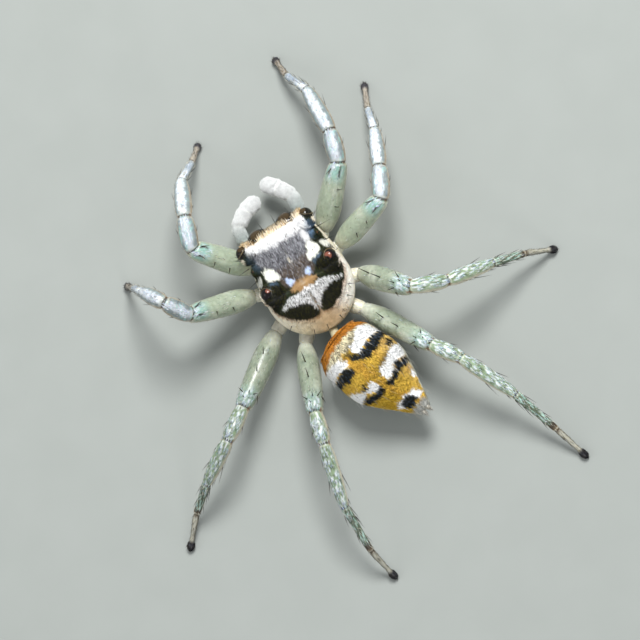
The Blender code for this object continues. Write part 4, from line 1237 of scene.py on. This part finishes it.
def hind_shin_tints(p, share, up, lit, streak):
    """Patella and tibia, metatarsus and tarsus of a hind leg: streaks of white and moss, a brown end."""
    shin = paint(
        spread_of(LEG_MOSS * 1.15, p),
        (LEG_CREAM * 0.86, ramp(0.42, -0.05, lit) * 0.9),
        (LEG_SHINE, ramp(0.20, 0.65, streak) * ramp(0.25, 0.60, lit) * 0.75),
        (LEG_MOSS * 0.40, ramp(0.35, 0.85, -streak) * ramp(0.15, 0.5, lit) * 0.8),
    )
    late = paint(
        spread_of(LEG_MOSS * 0.42, p),
        ((0.42, 0.60, 0.52), ramp(0.05, 0.50, streak) * ramp(-0.1, 0.4, lit)),
        ((0.055, 0.038, 0.020), ramp(0.76, 0.86, share)),
        ((0.22, 0.15, 0.08), ramp(0.90, 0.96, share) * 0.6),
    )
    foot = paint(
        spread_of((0.15, 0.14, 0.11), p),
        ((0.38, 0.37, 0.30), ramp(0.4, 0.9, up)),
        ((0.08, 0.055, 0.03), ramp(0.12, 0.03, share) * 0.7),
    )
    return shin, late, foot


def leg_tint(leg):
    """Colour of a leg: glassy femur, striped or streaked shin, dusky foot with a black tip, dark joints."""
    front, p, up = leg.kind == "front", leg.skin.points, leg.up
    index, share, near_joint = (values[:, None] for values in (leg.index, leg.share, leg.near_joint))
    mottled = wander(p, 0.020, 31)
    femur = femur_tint(front, p, share, up, leg.streak)
    if front:
        shin, late, foot = front_shin_tints(p, index, share, near_joint, up, mottled)
    else:
        shin, late, foot = hind_shin_tints(p, share, up, leg.lit, leg.streak)
    foot = mix(foot, LEG_TIP * (2.2 if front else 1.0), ramp(0.78, 0.90, share))
    tint = mix(spread_of(LEG_MILK, p), LEG_CREAM, 0.4 + 0.3 * wander(p, 0.10, 41))
    for number, colour in enumerate((femur, shin, shin, late, foot), start=FEMUR):
        tint = np.where((index == number)[..., None], colour, tint)
    lip = ramp(0.055, 0.035, near_joint) * ramp(0.012, 0.030, near_joint) * (index > COXA) * (index < TARSUS)
    jointed = (index > FEMUR) | ((index == FEMUR) & (share > 0.5))
    crease = ramp(0.020, 0.008, near_joint + 0.004 * mottled) * ramp(-0.4, 0.3, up) * jointed
    corner = ramp(0.052, 0.030, near_joint) * ramp(0.26, 0.12, np.abs(up - 0.45)) * jointed
    corner = corner * (index < METATARSUS)
    tint = paint(
        tint,
        (LEG_MILK, lip * 0.45),
        (LEG_LINE, crease * 0.80),
        ((0.22, 0.10, 0.035), corner * (0.35 if front else 0.75)),
    )
    return np.clip(tint * (1 + 0.05 * mottled[..., None]), DARKEST, BRIGHTEST)


def keep_above_floor(piece):
    for vertex in piece.data.vertices:
        vertex.co.z = max(vertex.co.z, FLOOR_CLEARANCE * MM)


# One leg: its kind and skin, the segment, share along it and nearness to a joint of each ring, how far up
# each side of the ring looks, the same turned toward the front, and streaks that run along the leg
Leg = namedtuple("Leg", "name kind skin index share near_joint up lit streak")


def leg_scales(leg, painted_dimming):
    """Flat bright scales in drawn-out clusters along the upper side."""
    front = leg.kind == "front"
    index, share = leg.index, leg.share
    weight = np.select([index == FEMUR, (index == PATELLA) | (index == TIBIA), index == METATARSUS],
                       [1.2 * ramp(0.66, 0.92, share) + 0.02, 1.5, 0.9 * ramp(0.82, 0.70, share)])
    weight = weight * ramp(0.020, 0.110 if front else 0.050, leg.near_joint)
    top = ramp(0.80, 0.94, leg.up) if front else ramp(0.10, 0.55, leg.lit)
    at = leg.skin.scatter(LEG_SCALES, weight[:, None] * top * (ramp(-0.10, 0.50, leg.streak) + 0.04) + 1e-9)
    choice = rng.uniform(size=LEG_SCALES)
    colour = spread_of(LEG_SHINE * (0.92 if front else 1.0), at.place)
    for low, high, fleck in SCALE_FLECKS[leg.kind]:
        colour[(choice >= low) & (choice < high)] = fleck
    on_femur = index[at.row.astype(int)] == FEMUR
    colour[(choice > 0.40) & (choice < 0.52) & on_femur] = (0.30, 0.50, 0.46)
    # the leg's painted shade darkens its scales too, with a random tone for each
    colour = np.clip(colour * painted_dimming * rng.uniform(0.80, 1.05, (LEG_SCALES, 1)), 0, BRIGHTEST)
    length, width = SCALE_SIZE[leg.kind]
    return hair_coat(f"leg_{leg.name}_scales", leg.skin, at, colour, length, width, lift=0.06, spread=0.05,
                     material=scale_material)


def leg_hairs(leg):
    """Sparse short hairs, most of them clear, denser on the feet."""
    late_femur = (leg.index == FEMUR) & (leg.share > 0.5)
    at = leg.skin.scatter(LEG_HAIRS, (0.7 + 1.6 * (leg.index >= METATARSUS) + 0.5 * late_femur)[:, None])
    segment = leg.index[at.row.astype(int)]
    colour = spread_of((0.62, 0.60, 0.50), at.place)
    dark = rng.uniform(size=LEG_HAIRS) < DARK_HAIRS[leg.kind]
    colour[dark | (segment == TARSUS)] = (0.07, 0.06, 0.05)
    length, lift = np.where(segment >= METATARSUS, 0.085, 0.075), np.where(segment == FEMUR, 0.22, 0.36)
    return hair_coat(f"leg_{leg.name}_hair", leg.skin, at, colour, length, width=0.0055, lift=lift)


def claw_tuft(leg):
    """Brush under the claws, black and dense on the hind feet."""
    count, length, brightness = CLAW_TUFT[leg.kind]
    brush = ((leg.index == TARSUS) & (leg.share > 0.84))[:, None] * (1.2 - leg.up)
    return plain_hair(f"leg_{leg.name}_claw_tuft", leg.skin, count, LEG_TIP * brightness, brush,
                      length=length, width=0.011, lift=0.45)


def make_leg(name):
    side, pair = name.split("_")
    kind = leg_kind(name)
    skin, index, share, near_joint, stations = leg_grid(name)
    turn = angles(LEG_SIDES)
    forward = math.radians(HIND_STREAK_TURN) * (1 if side == "left" else -1) if kind == "hind" else 0.0
    up, lit = np.sin(turn), np.sin(turn + forward)
    leg = Leg(name, kind, skin, index, share, near_joint, up, lit, streaks(stations, turn, 61 + int(pair)))
    # painted shade: this leg's tints and scales are darkened by this factor
    painted_dimming = LEG_PAINTED_SHADE.get(name, 1.0)
    nodes = [f"leg_{name}_{part}" for part in ("coxa", "femur", "patella", "tibia", "foot")]
    pieces = [dressed(f"leg_{name}_skin", skin, leg_tint(leg) * painted_dimming, nodes, leg_material)]
    pieces += [leg_scales(leg, painted_dimming), leg_hairs(leg), claw_tuft(leg)]
    for piece in pieces[2:]:
        keep_above_floor(piece)
    return pieces


def leg_spine_curves(name):
    side, pair = name.split("_")
    kind = leg_kind(name)
    joints = leg_joints(name)
    curves = []
    for k, segment in enumerate(SEGMENTS[FEMUR:TARSUS], start=FEMUR):
        start, end = joints[k], joints[k + 1]
        axis = unit(end - start)
        across = unit(np.cross(axis, UP))
        rise = np.cross(across, axis)
        ahead = across if side == "left" else -across
        radius, grow = SPINE_SIZE["femur" if k == FEMUR else kind]
        spines = FRONT_FEMUR_SPINES if k == FEMUR and kind == "front" else LEG_SPINES[segment]
        for share, around, lean, length in spines:
            around, lean = math.radians(around), math.radians(lean)
            outward = ahead * math.cos(around) + rise * math.sin(around)
            surface = LEG_RADII[int(pair)][k] * float(between(SWELL[segment], share))
            root = start + (end - start) * share + outward * (surface - 0.03 * math.sin(lean))
            direction = axis * math.cos(lean) + outward * math.sin(lean)
            bend = (axis * 0.05 - outward * 0.16) * min(1.0, math.sin(lean) + 0.1)
            curves.append((root, direction, bend, length * grow, radius))
    return curves


# Palps

def make_palp(side):
    """White fluffy palp, clearer toward its root."""
    joints = [mirrored(point, side) for point in PALP_PATHS[side]]
    total = np.linalg.norm(np.diff(joints, axis=0), axis=1).sum()
    stations = np.linspace(0, total, PALP_RINGS)
    shares = stations / total
    places, ways, starts = rounded_path(joints, stations, PALP_BEND)
    radii = waisted(straight_between(PALP_RADII, shares), nearness_to_bends(stations, starts), *PALP_WAIST)
    skin = Skin(tube_grid(places, ways, radii, PALP_SIDES))
    clear = ramp(0.62, 0.36, shares)
    tints = mix(spread_of((0.86, 0.85, 0.80), skin.points), PALP_CLEAR, clear[:, None])
    made = dressed(f"palp_{side}_skin", skin, tints, [f"palp_arm_{side}", f"palp_tip_{side}"])
    at = skin.scatter(PALP_HAIRS, 0.4 + ramp(0.25, 0.6, shares)[:, None])
    colour = mix(spread_of((0.86, 0.87, 0.86), at.place), (0.54, 0.60, 0.58), clear[at.row.astype(int)] * 0.9)
    colour = np.clip(colour * rng.uniform(0.92, 1.02, (PALP_HAIRS, 1)), 0, BRIGHTEST)
    fluff = hair_coat(f"palp_{side}_hair", skin, at, colour, length=0.085, width=0.010, lift=0.30,
                      spread=0.30, fine=True)
    return [made, fluff]


# Eyes

def ball_mesh(name, centre, radius, way, material, sides=48, rings=32):
    """Sphere whose pole looks along the lens."""
    way, side, other = across_way(way)
    ring = circle(side, other, sides)
    turns = np.linspace(0.0, np.pi, rings + 1)[1:-1]
    bands = [way * math.cos(turn) + ring * math.sin(turn) for turn in turns]
    verts = np.concatenate([[way], *bands, [-way]])
    last, tip = 1 + (len(turns) - 1) * sides, len(verts) - 1
    faces = [(0, 1 + k, 1 + (k + 1) % sides) for k in range(sides)]
    faces += band_faces(1, len(turns), sides)
    faces += [(tip, last + (k + 1) % sides, last + k) for k in range(sides)]
    return new_mesh_object(name, np.array(centre) + verts * radius, faces, material)


def ring_mesh(name, rings, material, sides=48, section=10):
    """Thin raised rims: each is (centre, way, radius, thickness)."""
    verts, faces = [], []
    for centre, way, radius, thickness in rings:
        way, side, other = across_way(way)
        faces += band_faces(len(verts), sides, section, closed=True)
        for out in circle(side, other, sides):
            verts.extend(np.array(centre) + out * radius + circle(out, way, section) * thickness)
    return new_mesh_object(name, np.array(verts), faces, material)


def make_eyes():
    # Lens colours: near-black, with the warm painted glint of the rear eyes and the faint amber painted glint
    # of the front eyes
    rear_lens = {side: lens_material(f"rear_lens_{side}", (0.006, 0.004, 0.004), (0.20, 0.070, 0.045),
                                     REAR_EYE_PAINTED_GLINTS[side]) for side in SIDES}
    front_lens = lens_material("front_lens", (0.008, 0.007, 0.004), (0.050, 0.032, 0.014), FRONT_EYE_PAINTED_GLINTS)
    rim_material = grained("eye_rim", 0.35, (0.050, 0.036, 0.016), (0.150, 0.110, 0.045), grain=9000.0)
    pieces, rims = [], []
    for side in SIDES:
        for kind, (centre, radius, way) in EYES.items():
            place, look = mirrored(centre, side), unit(mirrored(way, side))
            material = front_lens if kind.startswith("front") else rear_lens[side]
            eye = ball_mesh(f"eye_{kind}_{side}_lens", place, radius * LENS_SHARE, look, material)
            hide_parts(f"eye_{kind}_{side}")
            pieces.append(eye)
            reach, thickness = EYE_RIMS[kind]
            rim_radius = radius * math.sqrt(1 - reach ** 2) + thickness * 0.3
            rims.append((place + look * radius * reach, look, rim_radius, thickness))
    return pieces + [ring_mesh("eye_rims", rims, rim_material)]


# Underside

def slab_skin(widths, low, high, sides=40, rows=40):
    ys = np.linspace(widths[0][0], widths[-1][0], rows)[:, None]
    ends = np.minimum(1.0, np.minimum(ys - ys[0], ys[-1] - ys) / 0.08 + 0.25) ** 0.5
    turn = angles(sides)
    x = between(widths, ys) * squared(np.cos(turn), SQUARE_POWER) * ends
    z = (low + high) / 2 + (high - low) / 2 * ends * squared(np.sin(turn), SQUARE_POWER)
    return Skin(np.stack(np.broadcast_arrays(x, ys, z), axis=-1))


def make_underside():
    pieces = []
    for node, (widths, low, high) in SLABS.items():
        skin = slab_skin(widths, low, high)
        tints = mix(spread_of((0.62, 0.58, 0.42), skin.points), (0.34, 0.24, 0.12),
                    ramp(0.3, 0.9, wander(skin.points, 0.08, 51)) * 0.4)
        pieces.append(dressed(f"{node}_skin", skin, tints, [node]))
        pieces.append(plain_hair(f"{node}_hair", skin, SLAB_HAIRS, (0.74, 0.72, 0.62),
                                 length=0.09, width=0.008, lift=0.4))
    length = np.linalg.norm(np.diff(PEDICEL_PATH, axis=0), axis=1).sum()
    places, ways, _ = rounded_path(PEDICEL_PATH, np.linspace(0, 1, 30) * length, 0.15)
    skin = Skin(tube_grid(places, ways, np.full(len(places), PEDICEL_RADIUS), 24))
    tints = spread_of((0.50, 0.44, 0.28), skin.points)
    pieces.append(dressed("pedicel_skin", skin, tints, ["pedicel"]))
    for side in SIDES:
        pieces += make_chelicera(side)
    return pieces


def make_chelicera(side):
    """Jaw with its pale hairs and its fang."""
    heights = np.linspace(CHELICERA_TOP, CHELICERA_BOTTOM, 30)
    level, *measures = zip(*CHELICERA_STATIONS)
    columns = [between(list(zip(level, values)), heights)[:, None] for values in measures]
    forward, half_width, half_depth = columns
    half_width, half_depth = half_width - CHELICERA_COAT_DEPTH, half_depth - CHELICERA_COAT_DEPTH
    turn = angles(28)
    out, y = CHELICERA_PLACE
    x = out + half_width * np.cos(turn)
    along = y - forward + half_depth * np.sin(turn)
    points = np.stack(np.broadcast_arrays(x, along, heights[:, None]), axis=-1)
    skin = Skin(points * mirrored((1, 1, 1), side))
    dusk = ramp(0.34, 0.24, points[..., 2]) * 0.7
    tints = mix(spread_of((0.52, 0.40, 0.22), points), (0.24, 0.12, 0.05), dusk)
    made = dressed(f"chelicera_{side}_skin", skin, tints, [f"chelicera_{side}"])
    hairs = plain_hair(f"chelicera_{side}_hair", skin, CHELICERA_HAIRS, (0.80, 0.78, 0.70),
                       length=0.09, width=0.008, lift=0.45)
    fang_material = grained(f"fang_{side}", 0.15, (0.10, 0.030, 0.012), (0.22, 0.075, 0.030),
                            grain=7000.0, coat=0.5)
    curve = [*(mirrored(values, side) for values in FANG[:3]), *FANG[3:]]
    fang = bristle_mesh(f"chelicera_{side}_fang", [curve], fang_material, sides=12, rings=10)
    return [made, hairs, fang]


def spinneret_fingers(root, axis):
    """Grids of the six spinnerets: two rows of long ones and a shorter pair between them."""
    sideways = np.cross(UP, axis)
    for lift, size in ((1.0, 1.0), (0.0, 0.75), (-1.0, 1.0)):
        for sign in (-1, 1):
            start = root + sideways * (sign * 0.045) + UP * (lift * 0.042)
            way = unit(axis + sideways * (0.12 * sign) + UP * (0.15 * lift))
            length = SPINNERET_LENGTH * size
            stations = np.linspace(0, length, 16)
            places, ways, _ = rounded_path([start, start + way * length], stations, 0.02)
            yield tube_grid(places, ways, straight_between(SPINNERET_RADII, stations / length) * size, 16)


def make_spinnerets():
    axis = abdomen_axis()
    root = np.array([*ABDOMEN_FRONT, ABDOMEN_AXIS_HEIGHT[-1][1]]) + axis * (ABDOMEN_LENGTH - 0.02)
    reach = np.linspace(0, COLLAR_RADII[-1][0], 10)
    places = root + axis * reach[:, None]
    ways = np.broadcast_to(axis, places.shape)
    collar = Skin(tube_grid(places, ways, straight_between(COLLAR_RADII, reach), 32, tall=0.82))
    tints = spread_of((0.46, 0.45, 0.38), collar.points)
    pieces = [dressed("spinneret_collar", collar, tints, ["spinnerets"])]
    for number, grid in enumerate(spinneret_fingers(root, axis)):
        skin = Skin(grid)
        dark_end = np.linspace(0, 1, len(grid))[:, None] ** 3
        tints = mix(spread_of((0.50, 0.48, 0.40), grid), (0.16, 0.14, 0.12), dark_end)
        pieces.append(dressed(f"spinneret_{number}", skin, tints, []))
        pieces.append(plain_hair(f"spinneret_{number}_hair", skin, SPINNERET_HAIRS, (0.60, 0.58, 0.52),
                                 length=0.06, width=0.006, lift=0.4))
    return pieces


def make_head_bristles():
    curves = [(root, direction, UP * -0.12, length, HEAD_BRISTLE_RADIUS)
              for root, direction, length in HEAD_BRISTLES]
    for side in SIDES:
        for kind in ("front_side", "rear"):
            centre, radius, way = EYES[kind]
            look, around, other = across_way(mirrored(way, side))
            for turn in BROW_TURNS:
                out = around * math.cos(turn) + other * math.sin(turn)
                root = mirrored(centre, side) + out * radius * 1.02 + look * radius * 0.1
                curves.append((root, out + look * 0.9, -out * 0.35, BROW_LENGTH, BROW_RADIUS))
    return bristle_mesh("head_bristles", curves)


# Floor, lights and camera

def make_stage():
    corners = [(x * FLOOR_REACH, y * FLOOR_REACH, 0.0) for x, y in ((-1, -1), (1, -1), (1, 1), (-1, 1))]
    paper = grained("floor_paper", 0.75, (0.305, 0.325, 0.305), (0.315, 0.335, 0.315),
                    grain=900.0, specular=0.2)
    new_mesh_object("floor", corners, [(0, 1, 2, 3)], paper, smooth=False)
    backdrop = bpy.context.scene.world or bpy.data.worlds.new("studio")
    bpy.context.scene.world = backdrop
    backdrop.use_nodes = True
    sky = backdrop.node_tree.nodes["Background"]
    sky.inputs["Color"].default_value = SKY_COLOUR
    sky.inputs["Strength"].default_value = SKY_STRENGTH
    for name, (place, size, power) in LAMPS.items():
        lamp = bpy.data.lights.new(name, "AREA")
        lamp.energy = power
        lamp.size = size * MM
        lamp.shape = "DISK"
        holder = bpy.data.objects.new(name, lamp)
        holder.location = Vector(place) * MM
        holder.rotation_euler = (-Vector(place)).to_track_quat("-Z", "Y").to_euler()
        bpy.context.scene.collection.objects.link(holder)


def make_camera():
    tilt, swing = math.radians(CAMERA_TILT), math.radians(CAMERA_SWING)
    level = np.array([-math.sin(swing), math.cos(swing), 0.0])
    back = math.cos(tilt) * UP + math.sin(tilt) * level
    head_seen = unit(FORWARD - back * FORWARD.dot(back))
    beside = np.cross(head_seen, back)
    a, b = unit(HEAD_IN_PICTURE)
    right = a * head_seen + b * beside
    above = b * head_seen - a * beside
    middle = PICTURE_SIDE / 2
    offset_x = (EYES_MIDDLE_PIXEL[0] - middle) / PIXELS_PER_MM
    offset_y = -(EYES_MIDDLE_PIXEL[1] - middle) / PIXELS_PER_MM
    place = np.array(EYES_MIDDLE) - offset_x * right - offset_y * above + back * CAMERA_DISTANCE
    lens = bpy.data.cameras.new("photo_camera")
    lens.angle = 2 * math.atan(middle / (PIXELS_PER_MM * CAMERA_DISTANCE))
    lens.clip_start = 0.001
    lens.clip_end = 10.0
    camera = bpy.data.objects.new("photo_camera", lens)
    turn = Matrix((right, above, back)).transposed()
    camera.matrix_world = Matrix.Translation(Vector(world(place))) @ turn.to_4x4()
    bpy.context.scene.collection.objects.link(camera)
    bpy.context.scene.camera = camera


def main():
    make_camera()
    make_stage()
    bpy.context.scene.view_settings.view_transform = "Standard"
    pieces = make_carapace() + make_abdomen()
    spines = []
    for name in POSE:
        pieces += make_leg(name)
        spines += leg_spine_curves(name)
    pieces.append(bristle_mesh("leg_spines", spines, sides=7, rings=7))
    for side in SIDES:
        pieces += make_palp(side)
    pieces += make_eyes() + make_underside() + make_spinnerets()
    pieces.append(make_head_bristles())
    for piece in pieces:
        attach(piece, "root")


main()
